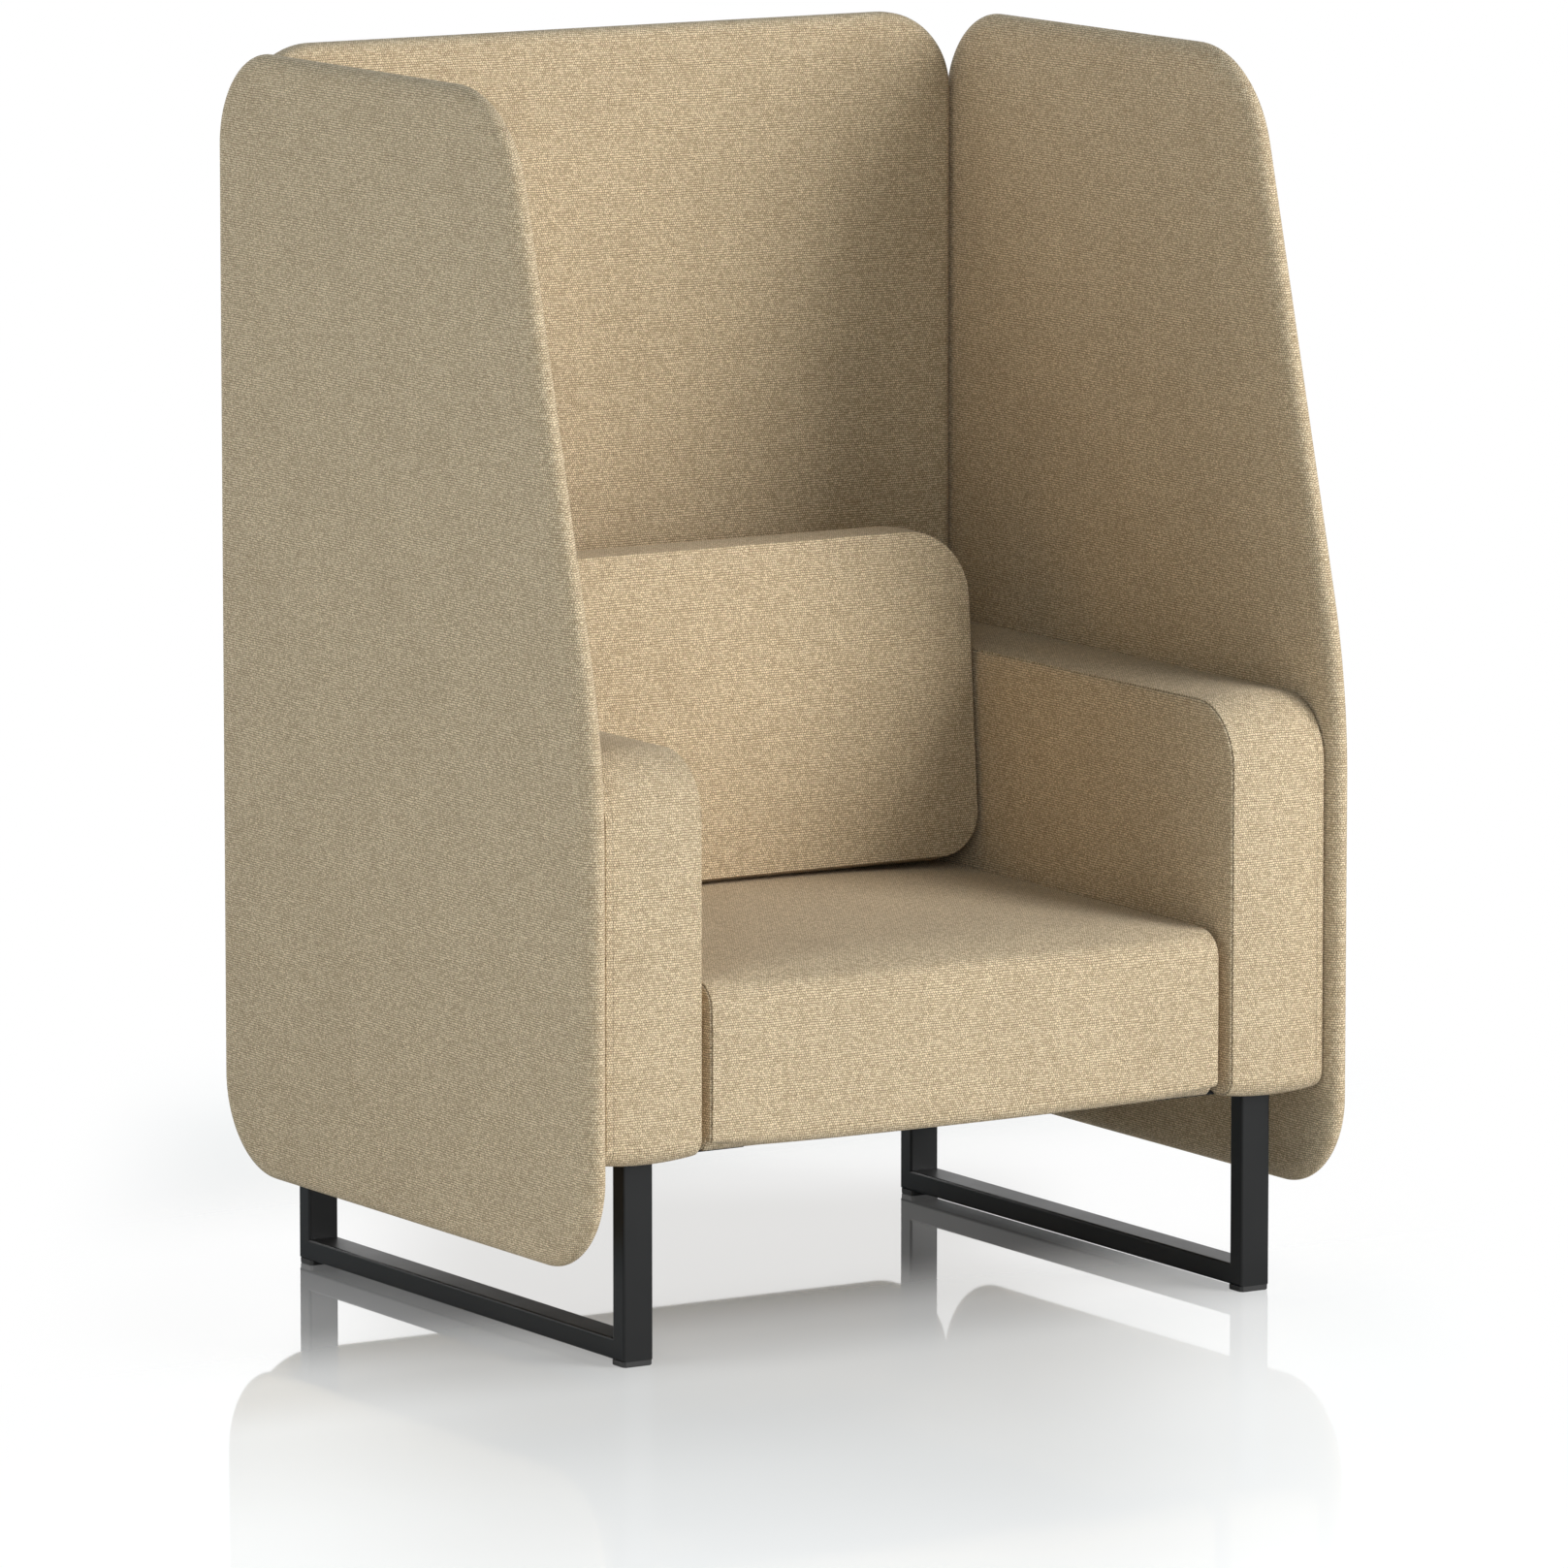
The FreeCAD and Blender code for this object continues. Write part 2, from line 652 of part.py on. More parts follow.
back_rings = [back_ring(-back_thickness - back_rear_crown, back_rear_inset)]
for s in (-1.0, -0.5, 0.0, 0.5, 1.0):
    back_rings.append(back_ring((s - 1.0) * back_thickness / 2, -boxing_crown * swell_at(s)))
for t in (0.04, 0.12, 0.25, 0.5, 1.0):
    back_rings.append(back_ring(back_crown * (1 - (1 - t) ** 3), back_crown_reach * t))
save("back_cushion", loft(back_rings))


# Back rest: padded block that carries the cushion, over a timber frame
def rest_front_y(z):
    """Front face of the back rest at a height, parallel to the cushion's rear face."""
    behind_seam = (back_thickness + back_rear_crown) / math.cos(lean)
    return back_seam_y + behind_seam + (z - back_seam_bottom) * math.tan(lean) + rest_clearance


rest_bottom = seat_frame_top + 2 * webbing_thickness + 0.2
rest_sections = []
for s in (-1.0, -0.9, -0.6, 0.0, 0.6, 0.9, 1.0):
    top = rest_top - rest_crown + rest_crown * swell_at(s)
    rest_corners = [
        (rest_front_y(rest_bottom), rest_bottom, 0.0),
        (rest_rear_y, rest_bottom, 0.0),
        (rest_rear_y, top, 0.0),
        (rest_front_y(top), top, rest_top_radius),
    ]
    rest_sections.append(outline(rest_corners, side_plane(s * rest_half_width)))
frame_half = upright_inner_x + upright_width
rest_pocket = box(
    -frame_half - rest_pocket_margin, frame_half + rest_pocket_margin,
    upright_front_y - head_height - bolt_end_gap, upright_front_y + upright_depth + 0.5,
    rest_bottom - 10.0, upright_top + 2.0)
rest_pad = loft(rest_sections).cut(rest_pocket)
save("back_rest_pad", drill(rest_pad, all_back_spots, rear_axis, upright_front_y, rest_rear_y + cut_margin))

upright = box(
    upright_inner_x, upright_inner_x + upright_width,
    upright_front_y, upright_front_y + upright_depth, plate_top + 3.0, upright_top)
upright_drill_end = upright_front_y + upright_depth + cut_margin
upright = drill(upright, back_spots + upright_spots, rear_axis, upright_front_y - cut_margin, upright_drill_end)
save_pair("back_upright", upright)

upper_cross_rail_z = upright_top - cross_rail_height
for name, z0 in (("back_lower_rail", lower_cross_rail_z), ("back_upper_rail", upper_cross_rail_z)):
    cross_rail = box(
        -upright_inner_x, upright_inner_x,
        upright_front_y, upright_front_y + upright_depth, z0, z0 + cross_rail_height)
    save(name, cross_rail)

back_straps = []
for z in back_strap_heights:
    back_straps.append(
        box(strap_end - frame_half, frame_half - strap_end,
            upright_front_y - webbing_thickness, upright_front_y,
            z - webbing_width / 2, z + webbing_width / 2))
save("back_webbing", Part.makeCompound(back_straps))
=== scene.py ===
import math

import bmesh
import bpy
import numpy as np
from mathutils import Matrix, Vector


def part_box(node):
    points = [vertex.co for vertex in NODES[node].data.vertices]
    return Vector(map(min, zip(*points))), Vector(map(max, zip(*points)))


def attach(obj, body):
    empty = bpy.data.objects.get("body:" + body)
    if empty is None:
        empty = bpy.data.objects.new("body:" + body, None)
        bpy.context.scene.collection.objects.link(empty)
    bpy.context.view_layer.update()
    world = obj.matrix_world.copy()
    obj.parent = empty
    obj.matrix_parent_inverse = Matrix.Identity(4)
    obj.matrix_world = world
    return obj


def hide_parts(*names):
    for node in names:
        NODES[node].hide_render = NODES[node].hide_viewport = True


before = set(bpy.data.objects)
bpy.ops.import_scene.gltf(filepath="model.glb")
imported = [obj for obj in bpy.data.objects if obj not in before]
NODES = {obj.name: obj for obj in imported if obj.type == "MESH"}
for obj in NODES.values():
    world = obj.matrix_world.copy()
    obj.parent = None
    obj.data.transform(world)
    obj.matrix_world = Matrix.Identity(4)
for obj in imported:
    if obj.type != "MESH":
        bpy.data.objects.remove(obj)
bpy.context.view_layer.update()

bl_info = {
    "name": "Privacy booth sofa",
    "version": (1, 0, 0),
    "blender": (4, 5, 0),
    "location": "View3D > Sidebar > Booth",
    "description": "Upholstery, finishes and studio for a single booth sofa with privacy panels",
    "category": "Object",
}

SIDES = ("left", "right")
SIDE_SIGN = {"left": -1.0, "right": 1.0}
MM = 0.001
CLOTH_MAP = "cloth"
# Point attribute with painted shade for the seams' creases, which the cover reads
CREASE_SHADE_MAP = "seam"
ROOT = "root"
WHITE = (1.0, 1.0, 1.0)

# Cloth simulation: frames, steps of grip, the farthest movement and the pressure for each cover, and the cloth
SIM_FRAMES = 16
GRIP_STEPS = 20
SEAT_MOST, SEAT_PRESSURE = 16 * MM, 7.0
CUSHION_MOST, CUSHION_PRESSURE = 22 * MM, 22.0
COVER_CLOTH = {
    "quality": 4, "mass": 0.3, "tension_stiffness": 40.0, "compression_stiffness": 40.0, "shear_stiffness": 20.0,
    "bending_stiffness": 3.0, "use_pressure": True}

# A shallow seam line on a band: its distance from the edge, half width, painted shade and depth
LINE_OFFSET, LINE_WIDTH = 11.5 * MM, 0.7 * MM
LINE_SHADE, LINE_DEPTH = 0.35, 0.5 * MM

# Floor directions, as shares of x and y: towards the camera, and across its view
TOWARDS = (-0.53, -0.85)
ACROSS = (0.85, -0.53)

# Lamps: name, degrees right of the front, degrees above the floor, width in metres, and the setting with the power
LAMPS = (
    ("low_key_lamp", 29.0, 15.0, 4.2, "key_low_power"),
    ("high_key_lamp", 40.0, 44.0, 3.4, "key_high_power"),
    ("front_lamp", -33.0, 17.0, 4.5, "front_power"),
    ("left_lamp", -97.0, 19.0, 5.0, "left_power"),
    ("rear_lamp", 174.0, 13.0, 4.0, "rear_power"),
)
LAMP_DISTANCE = 9.0
LAMP_AIM = (0.0, 0.0, 0.7)
EVEN_TINT = (0.15, 0.62, 0.98, 1.0)


def length(name, description, default):
    """A length property in metres."""
    return bpy.props.FloatProperty(
        name=name, description=description, default=default, unit="LENGTH", precision=4)


def tint(name, description, default):
    """A linear colour property."""
    return bpy.props.FloatVectorProperty(
        name=name, description=description, default=default, size=3, min=0.0, max=1.0, subtype="COLOR")


def angle(name, description, degrees):
    """An angle property, given in degrees."""
    return bpy.props.FloatProperty(
        name=name, description=description, default=math.radians(degrees), subtype="ANGLE")


def power(name, description, default):
    """The power of a lamp in watts."""
    return bpy.props.FloatProperty(name=name, description=description, default=default, unit="POWER")


class BoothPanelSizes(bpy.types.PropertyGroup):
    thickness: length("Thickness", "Thickness of a wrapped side panel", 28 * MM)
    rim: length("Rim", "Depth of the rounding on a side panel's edge", 24.6 * MM)
    back_thickness: length("Back thickness", "Thickness of the wrapped back panel", 32 * MM)
    bottom: length("Bottom", "Height of the panels' lower edge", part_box("left_panel_outer_pad")[0][2])
    top: length("Top", "Height of the panels' upper edge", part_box("left_panel_outer_pad")[1][2])
    front: length("Front", "Front edge of a side panel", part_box("left_panel_outer_pad")[0][1])
    rear: length("Rear", "Rear edge of a side panel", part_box("left_panel_outer_pad")[1][1])
    middle: length("Middle", "Distance of a side panel's middle plane from the sofa's", 511 * MM)
    corner_radius: length("Corner radius", "Radius of the lower and rear corners", 115 * MM)
    tip_radius: length("Tip radius", "Radius of the upper front corner", 149 * MM)
    slant: angle("Slant", "Lean of the upper front edge", 15.1)
    bend_height: length("Bend height", "Height where the front edge starts to slant", 723.5 * MM)
    bend_radius: length("Bend radius", "Radius that blends the slant", 850 * MM)
    back_half_width: length("Back half width", "Half the width of the back panel", 496.7 * MM)
    back_corner_radius: length("Back corner radius", "Radius of the back panel's corners", 98 * MM)
    back_middle: length("Back middle", "Middle plane of the back panel", 416 * MM)
    back_rear_edge: length("Back rear edge", "Edge radius on the rear of the back panel", 6 * MM)


class BoothSeatSizes(bpy.types.PropertyGroup):
    arm_inner: length("Arm inside", "Inner face of an arm", 364.5 * MM)
    arm_outer: length("Arm outside", "Outer face of an arm", 496.6 * MM)
    arm_front: length("Arm front", "Front of an arm", -415 * MM)
    arm_rear: length("Arm rear", "Rear of an arm", 399.6 * MM)
    arm_bottom: length("Arm bottom", "Lower edge of an arm", 244.5 * MM)
    arm_top: length("Arm top", "Upper edge of an arm at its seams", 711 * MM)
    seat_half: length("Seat half width", "Half the width of the seat", 351 * MM)
    seat_front: length("Seat front", "Front of the seat", -410 * MM)
    seat_rear: length("Seat rear", "Rear of the seat", 229 * MM)
    seat_crest: length("Seat crest", "Depth of the seat's highest line", 40 * MM)
    seat_bottom: length("Seat bottom", "Lower edge of the seat at its sides", 250 * MM)
    seat_top: length("Seat top", "Upper edge of the seat at its sides", 444 * MM)
    cushion_half: length("Cushion half width", "Half the width of the back cushion", 354 * MM)
    cushion_low: length("Cushion low seam", "Height of the back cushion's lower seam", 467 * MM)
    cushion_high: length("Cushion high seam", "Height of the back cushion's upper seam", 860 * MM)
    cushion_seam: length("Cushion seam", "Depth of the lower seam", 118.5 * MM)
    cushion_deep: length("Cushion thickness", "Width of the boxing strip", 118 * MM)
    cushion_crown: length("Cushion crown", "Rise of the cushion's face over its seam", 18 * MM)
    cushion_lean: angle("Lean", "Lean of the back cushion", 4.5)
    facing_pillow: length("Facing pillow", "How far a side facing stands out from its seam", 3.0 * MM)
    facing_reach: length("Facing reach", "How far a side facing curves away from its seam", 42 * MM)
    seam_radius: length("Seam radius", "Radius of the cloth that rolls into a seam", 1.5 * MM)


class BoothFinishes(bpy.types.PropertyGroup):
    yarn: tint("Yarn", "Main yarn of the cover", (0.580, 0.437, 0.268))
    yarn_pale: tint("Pale yarn", "Cream yarn of the cover", (0.920, 0.742, 0.500))
    yarn_dark: tint("Dark yarn", "Brown shade between the yarns", (0.245, 0.167, 0.093))
    yarn_rose: tint("Rose fleck", "Faint rose flecks in the yarn", (0.60, 0.39, 0.28))
    row_pitch: length("Row pitch", "Distance between rows of the weave", 2.75 * MM)
    stitch_pitch: length("Stitch pitch", "Length of one float in a row", 3.1 * MM)
    steel: tint("Steel coat", "Powder coat of the legs", (0.0065, 0.0063, 0.0062))
    plastic: tint("Glide plastic", "Moulded glides", (0.022, 0.021, 0.020))
    plywood: tint("Plywood", "Boards inside the panels and arms", (0.56, 0.40, 0.235))
    timber: tint("Timber", "Rails of the frame", (0.60, 0.43, 0.25))
    webbing: tint("Webbing", "Straps under the seat", (0.10, 0.075, 0.055))
    dust_cloth: tint("Dust cloth", "Cloth under the seat", (0.022, 0.021, 0.021))
    zinc: tint("Zinc", "Plated bolts", (0.56, 0.56, 0.54))
    floor: tint("Floor", "Pale studio floor", (0.80, 0.80, 0.79))
    floor_seen: tint("Floor as seen", "Floor's colour for the camera", (0.46, 0.455, 0.445))


class BoothStage(bpy.types.PropertyGroup):
    key_low_power: power("Low key", "Power of the low soft lamp at the right front", 535.0)
    key_high_power: power("High key", "Power of the high soft lamp at the right front", 205.0)
    front_power: power("Front", "Power of the soft lamp in front", 124.0)
    left_power: power("Left", "Power of the soft lamp at the left", 275.0)
    rear_power: power("Rear", "Power of the soft lamp behind", 300.0)
    ambient: bpy.props.FloatProperty(
        name="Ambient", description="Level of the even light round the sofa", default=0.125, min=0.0)
    lens: bpy.props.FloatProperty(
        name="Lens", description="Focal length", default=276.8, unit="CAMERA")
    camera_place: bpy.props.FloatVectorProperty(
        name="Camera", description="Place of the camera", default=(-7.4626, -12.0210, 2.7623), subtype="TRANSLATION")
    camera_turn: bpy.props.FloatVectorProperty(
        name="Turn", description="Turn of the camera", default=(math.radians(81.29), 0.0, math.radians(-31.84)),
        subtype="EULER")


class BoothSettings(bpy.types.PropertyGroup):
    panels: bpy.props.PointerProperty(type=BoothPanelSizes, name="Panels", description="Privacy panel sizes")
    seating: bpy.props.PointerProperty(type=BoothSeatSizes, name="Seating", description="Seat, arm and cushion sizes")
    finishes: bpy.props.PointerProperty(type=BoothFinishes, name="Finishes", description="Colours and weave")
    stage: bpy.props.PointerProperty(type=BoothStage, name="Stage", description="Lamps and camera")


def booth():
    """The settings kept on the scene."""
    return bpy.context.scene.booth


# Outlines and surfaces

class Outline:
    """A closed outline of straight runs with a circular arc at each corner, listed anticlockwise."""

    def __init__(self, corners, radii, arc_steps, run_steps):
        self.corners = np.asarray(corners, dtype=float)
        self.radii = np.asarray(radii, dtype=float)
        self.arc_steps = arc_steps
        self.run_steps = run_steps
        ahead = np.roll(self.corners, -1, axis=0) - self.corners
        self.ahead = ahead / np.linalg.norm(ahead, axis=1, keepdims=True)
        self.behind = -np.roll(self.ahead, 1, axis=0)
        self.half_angle = np.arccos(np.clip(np.sum(self.ahead * self.behind, axis=1), -1.0, 1.0)) / 2
        bisector = self.ahead + self.behind
        self.bisector = bisector / np.linalg.norm(bisector, axis=1, keepdims=True)

    def ring(self, inset=0.0, radii=None):
        """Points and outward normals of the outline drawn in by an inset, with the first point repeated at the end.

        A corner moves along its bisector by inset over the sine of half its angle, and its radius shrinks by the inset
        unless radii are given. An arc of radius r leaves each side at r over the tangent of that half angle, about a
        centre at r over its sine along the bisector.
        """
        sine = np.sin(self.half_angle)[:, None]
        corners = self.corners + self.bisector * inset / sine
        radii = np.maximum(self.radii - inset, 0.5 * MM) if radii is None else radii
        centres = corners + self.bisector * radii[:, None] / sine
        cut = (radii / np.tan(self.half_angle))[:, None]
        start, end = corners + self.behind * cut, corners + self.ahead * cut
        first_angle = np.arctan2(self.behind[:, 0], -self.behind[:, 1])
        points, normals = [], []
        for i in range(len(corners)):
            share = np.linspace(0.0, 1.0, self.arc_steps[i] + 1)
            angle = first_angle[i] + (math.pi - 2 * self.half_angle[i]) * share
            arc = np.stack([np.cos(angle), np.sin(angle)], axis=1)
            run = np.linspace(0.0, 1.0, self.run_steps[i] + 1)[1:-1, None]
            goal = start[(i + 1) % len(corners)]
            points += [centres[i] + arc * radii[i], end[i] + (goal - end[i]) * run]
            normals += [arc, np.repeat(arc[-1:], len(run), axis=0)]
        return np.concatenate(points + [points[0][:1]]), np.concatenate(normals + [normals[0][:1]])


def run_lengths(points):
    """Distance travelled along a line of points, starting at zero."""
    return np.concatenate([[0.0], np.cumsum(np.linalg.norm(np.diff(points, axis=0), axis=1))])


def grid_faces(rows, columns, offset):
    """Four-sided faces of a grid of rows by columns points whose numbering starts at offset."""
    index = offset + np.arange(rows * columns).reshape(rows, columns)
    return np.stack([index[:-1, :-1], index[:-1, 1:], index[1:, 1:], index[1:, :-1]], axis=-1).reshape(-1, 4)


def sewn_mesh(name, patches, caps=()):
    """One closed mesh from grids of points, and flat caps that each fill a ring of points.

    A patch is (points, cloth places, seam share of each row): rows by columns by three, rows by columns by two, and
    one number for each row; the seam share is painted shade for the creases. A cap is (points, cloth places) of one
    ring. Points that lie together are merged and the faces are turned outwards.
    """
    vertices, cloth, seams, faces = [], [], [], []
    count = 0
    for points, places, seam in patches:
        rows, columns = points.shape[:2]
        vertices.append(points.reshape(-1, 3))
        cloth.append(places.reshape(-1, 2))
        seams.append(np.repeat(seam, columns))
        faces += grid_faces(rows, columns, count).tolist()
        count += rows * columns
    for points, places in caps:
        vertices.append(points)
        cloth.append(places)
        seams.append(np.zeros(len(points)))
        faces.append(list(range(count, count + len(points))))
        count += len(points)
    mesh = bpy.data.meshes.new(name)
    mesh.from_pydata(np.concatenate(vertices), [], faces, shade_flat=False)
    layer = mesh.uv_layers.new(name=CLOTH_MAP)
    layer.uv.foreach_set("vector", np.concatenate(cloth)[np.concatenate(faces)].reshape(-1))
    # The seam attribute: painted shade for the creases
    mesh.attributes.new(CREASE_SHADE_MAP, "FLOAT", "POINT").data.foreach_set("value", np.concatenate(seams))
    form = bmesh.new()
    form.from_mesh(mesh)
    bmesh.ops.remove_doubles(form, verts=form.verts, dist=2e-6)
    bmesh.ops.recalc_face_normals(form, faces=form.faces)
    form.to_mesh(mesh)
    form.free()
    mesh.polygons.foreach_set("use_smooth", np.ones(len(mesh.polygons), dtype=bool))
    mesh.update()
    return mesh


def linked(name, data):
    """A new object in the scene."""
    made = bpy.data.objects.new(name, data)
    bpy.context.scene.collection.objects.link(made)
    return made


def cover():
    """The cover cloth that every soft piece shares, made when it is first asked for."""
    return bpy.data.materials.get("cover_weave") or woven_cover(booth().finishes)


def place_piece(mesh, nodes):
    """Puts a finished cover into the scene in place of the frame's own nodes."""
    piece = linked(mesh.name, mesh)
    mesh.materials.append(cover())
    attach(piece, ROOT)
    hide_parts(*nodes)
    return piece


def ramp(values, low, high):
    """Zero below low, one above high, straight between."""
    return np.clip((values - low) / (high - low), 0.0, 1.0)


def pulled(items, key, width=1, kind=np.int32):
    """One property of each item of a mesh, as an array."""
    values = np.empty(width * len(items), dtype=kind)
    items.foreach_get(key, values)
    return values


def places_of(mesh):
    """The places of a mesh's points."""
    return pulled(mesh.vertices, "co", 3, float).reshape(-1, 3)


def loose_cloth(mesh, hold):
    """The part of a mesh that is not held all over, as a new mesh, and the numbers of its points in the whole."""
    corners = pulled(mesh.loops, "vertex_index")
    starts = pulled(mesh.polygons, "loop_start")
    sizes = pulled(mesh.polygons, "loop_total")
    free = (np.minimum.reduceat(hold[corners], starts) < 1.0) & (sizes == 4)
    used, numbers = np.unique(corners[starts[free][:, None] + np.arange(4)], return_inverse=True)
    made = bpy.data.meshes.new(mesh.name + "_filling")
    made.from_pydata(places_of(mesh)[used], [], numbers.reshape(-1, 4))
    return made, used


def filled(piece, hold, most, pressure):
    """Lets a cover swell over its filling in a short cloth simulation, and keeps the swollen form.

    Hold gives each point's grip, from zero where the cloth is free to one along seams and where it lies on the frame.
    The loose cloth is copied and put under even pressure without weight, and no point moves further than most.
    """
    scene = bpy.context.scene
    mesh = piece.data
    rest = places_of(mesh)
    held = np.clip(hold(rest), 0.0, 1.0)
    loose, used = loose_cloth(mesh, held)
    body = linked(loose.name, loose)
    grip = body.vertex_groups.new(name="grip")
    level = np.rint(GRIP_STEPS * held[used]).astype(int)
    for step in range(1, GRIP_STEPS + 1):
        grip.add(np.flatnonzero(level == step).tolist(), step / GRIP_STEPS, "REPLACE")
    cloth = body.modifiers.new("filling", "CLOTH")
    cloth.point_cache.frame_end = SIM_FRAMES
    for key, setting in COVER_CLOTH.items():
        setattr(cloth.settings, key, setting)
    cloth.settings.vertex_group_mass = grip.name
    cloth.settings.uniform_pressure_force = pressure
    cloth.settings.effector_weights.gravity = 0.0
    for step in range(1, SIM_FRAMES + 1):
        scene.frame_set(step)
    move = places_of(body.evaluated_get(bpy.context.evaluated_depsgraph_get()).data) - rest[used]
    far = np.linalg.norm(move, axis=1, keepdims=True)
    rest[used] += move * most * np.tanh(far / most) / np.maximum(far, 1e-9)
    mesh.vertices.foreach_set("co", rest.reshape(-1))
    mesh.update()
    bpy.data.objects.remove(body)
    bpy.data.meshes.remove(loose)
    scene.frame_set(1)


def rim_steps(front, rear, thickness, steps):
    """Profile of a panel's rim from its front face to its rear face.

    Front and rear are (depth, reach) of a quarter ellipse, with a straight run between them. Returns depth from the
    front face, inset from the outline, and how far the cloth lies outside the outline when it is unrolled. Both
    halves reach the same place where they meet, so the cloth is continuous.
    """
    turn = np.linspace(0.0, math.pi / 2, steps)
    front_line = np.stack([front[0] * (1 - np.cos(turn)), front[1] * (1 - np.sin(turn))], axis=1)
    rear_line = np.stack([thickness - rear[0] * (1 - np.cos(turn)), rear[1] * (1 - np.sin(turn))], axis=1)
    front_cloth = run_lengths(front_line) - front[1]
    straight = thickness - front[0] - rear[0]
    rear_run = run_lengths(rear_line)
    rear_cloth = -rear[1] + (front_cloth[-1] + rear[1]) * rear_run / (rear_run[-1] + straight)
    line = np.concatenate([front_line, rear_line[::-1]])
    return line[:, 0], line[:, 1], np.concatenate([front_cloth, rear_cloth[::-1]])


def wrapped_board(name, outline, to_space, thickness, front, rear):
    """A flat board wrapped in cloth, with a rounded rim all round.

    Rings of the outline are drawn in by the inset of the rim's profile while they pass from the front face to the
    rear face, and a few rings on each face end in a flat cap. The cloth is laid flat on both faces and runs over the
    rim square to the outline.
    """
    points, normals = outline.ring()
    depth, inset, cloth = rim_steps(front, rear, thickness, 11)
    margin = np.array([60.0, 34.0, 16.0, 6.0]) * MM
    depth = np.concatenate([np.zeros(4), depth, np.full(4, thickness)])
    inset = np.concatenate([front[1] + margin, inset, rear[1] + margin[::-1]])
    cloth = np.concatenate([-front[1] - margin, cloth, -rear[1] - margin[::-1]])
    flat = points[None] - normals[None] * inset[:, None, None]
    space = to_space(flat[..., 0], flat[..., 1], np.broadcast_to(depth[:, None], flat.shape[:2]))
    places = points[None] + normals[None] * cloth[:, None, None]
    caps = [(space[0, :-1], places[0, :-1]), (space[-1, :-1], places[-1, :-1])]
    return sewn_mesh(name, [(space, places, np.zeros(len(space)))], caps)


def spread(near, far, fine, coarse):
    """Stations from near to far that are fine at both ends and coarse between, as whole numbers of steps."""
    edge = np.array(fine)
    middle = np.linspace(near + edge[-1], far - edge[-1], max(3, int(round((far - near - 2 * edge[-1]) / coarse)) + 1))
    return np.concatenate([near + edge[:-1], middle, (far - edge[:-1])[::-1]])


def seam_roll(radius):
    """Half of a sewn edge: cloth that rolls through 135 degrees into the crease where it meets its neighbour.

    Returns, from the free cloth to the crease, the distance left to the neighbour's face, the depth below the cloth's
    own face, and a painted shade for the crease, a bell curve of the distance along the roll.
    """
    turn = np.linspace(0.0, 0.75 * math.pi, 12)
    distance = radius * (1 + math.sqrt(2.0) - np.sin(turn))
    depth = radius * (1 - np.cos(turn))
    # Painted shade that deepens towards the crease
    dark = np.exp(-((turn[-1] - turn) * radius / (1.1 * MM)) ** 2)
    return distance, depth, dark


def boxed_band(name, outline, x_low, x_high, form, coarse, lines=(0.0, 0.0)):
    """A band of cloth round an outline, closed by a sewn facing on each side.

    The band carries the outline from one side to the other, and form moves its points for the padding. At each side
    the band and the facing roll into one crease, with painted shade in it. The facing rises from its seam by the
    pillow's height times 1 - (1 - d / reach) to the power 3 and is flat inside the reach. Lines give the share of a
    shallow seam line on the band near the low and the high edge, a groove with painted shade in it. A side with such a
    line lies against a panel, and its facing is flat.
    """
    sizes = booth().seating
    pillow, reach, radius = sizes.facing_pillow, sizes.facing_reach, sizes.seam_radius
    points, normals = outline.ring()
    distance, depth, dark = seam_roll(radius)
    fine = np.array([4.0, 5.4, 7.4, 9.2, 10.2, 10.9, 11.5, 12.1, 12.8, 13.8, 15.4, 19.0, 24.0]) * MM
    free = spread(x_low, x_high, fine, coarse)
    stations = np.concatenate([x_low + distance[::-1], free, x_high - distance])
    drop = np.concatenate([depth[::-1], 0 * free, depth])
    line_low = lines[0] * np.exp(-((stations - x_low - LINE_OFFSET) / LINE_WIDTH) ** 2)
    line_high = lines[1] * np.exp(-((x_high - stations - LINE_OFFSET) / LINE_WIDTH) ** 2)
    # Painted shade in the creases and along the seam line
    seam = np.concatenate([dark[::-1], 0 * free, dark]) + LINE_SHADE * (line_low + line_high)
    drop = drop + LINE_DEPTH * (line_low + line_high)
    side = (2 * stations - x_low - x_high) / (x_high - x_low)
    x = np.broadcast_to(stations[:, None], (len(stations), len(points)))
    base = np.broadcast_to(points[None], x.shape + (2,))
    out = np.broadcast_to(normals[None], x.shape + (2,))
    shaped = base + form(base, out, side[:, None]) - out * drop[:, None, None]
    band = np.concatenate([x[..., None], shaped], axis=-1)
    travel = run_lengths(points)
    patches = [(band, np.stack([x, np.broadcast_to(travel[None], x.shape)], axis=-1), seam)]
    run = np.array([1.0, 2.5, 4.5, 7.0, 10.5, 15.0, 21.0, 28.0, 36.0]) * MM
    run = np.concatenate([run[run < reach], [reach]])
    inset = np.concatenate([distance[::-1], distance[0] + run])
    inward = inset - inset[0]
    rise = 1 - np.clip(1 - inward / reach, 0.0, 1.0) ** 3
    sunk = np.concatenate([depth[::-1], 0 * run])
    # Painted shade in the facing's crease
    facing_crease_shade = np.concatenate([dark[::-1], 0 * run])
    flat = np.stack([outline.ring(d)[0] for d in inset])
    blend = np.clip(1 - inward / (14 * MM), 0.0, 1.0)[:, None, None]
    caps = []
    for row, x_seam, outward, line in ((0, x_low, -1.0, lines[0]), (-1, x_high, 1.0, lines[1])):
        height = pillow * (1 - line) * rise - sunk
        level = np.broadcast_to((x_seam + outward * height)[:, None, None], flat.shape[:2] + (1,))
        moved = flat + (band[row, :, 1:] - flat[0]) * blend
        facing = np.concatenate([level, moved], axis=-1)
        facing[0] = band[row]
        patches.append((facing, flat, facing_crease_shade))
        caps.append((facing[-1, :-1], flat[-1, :-1]))
    return sewn_mesh(name, patches, caps)


def upright_box(front, rear, bottom, top):
    """Corners of an upright rectangle, anticlockwise from the lower front."""
    return [(front, bottom), (rear, bottom), (rear, top), (front, top)]


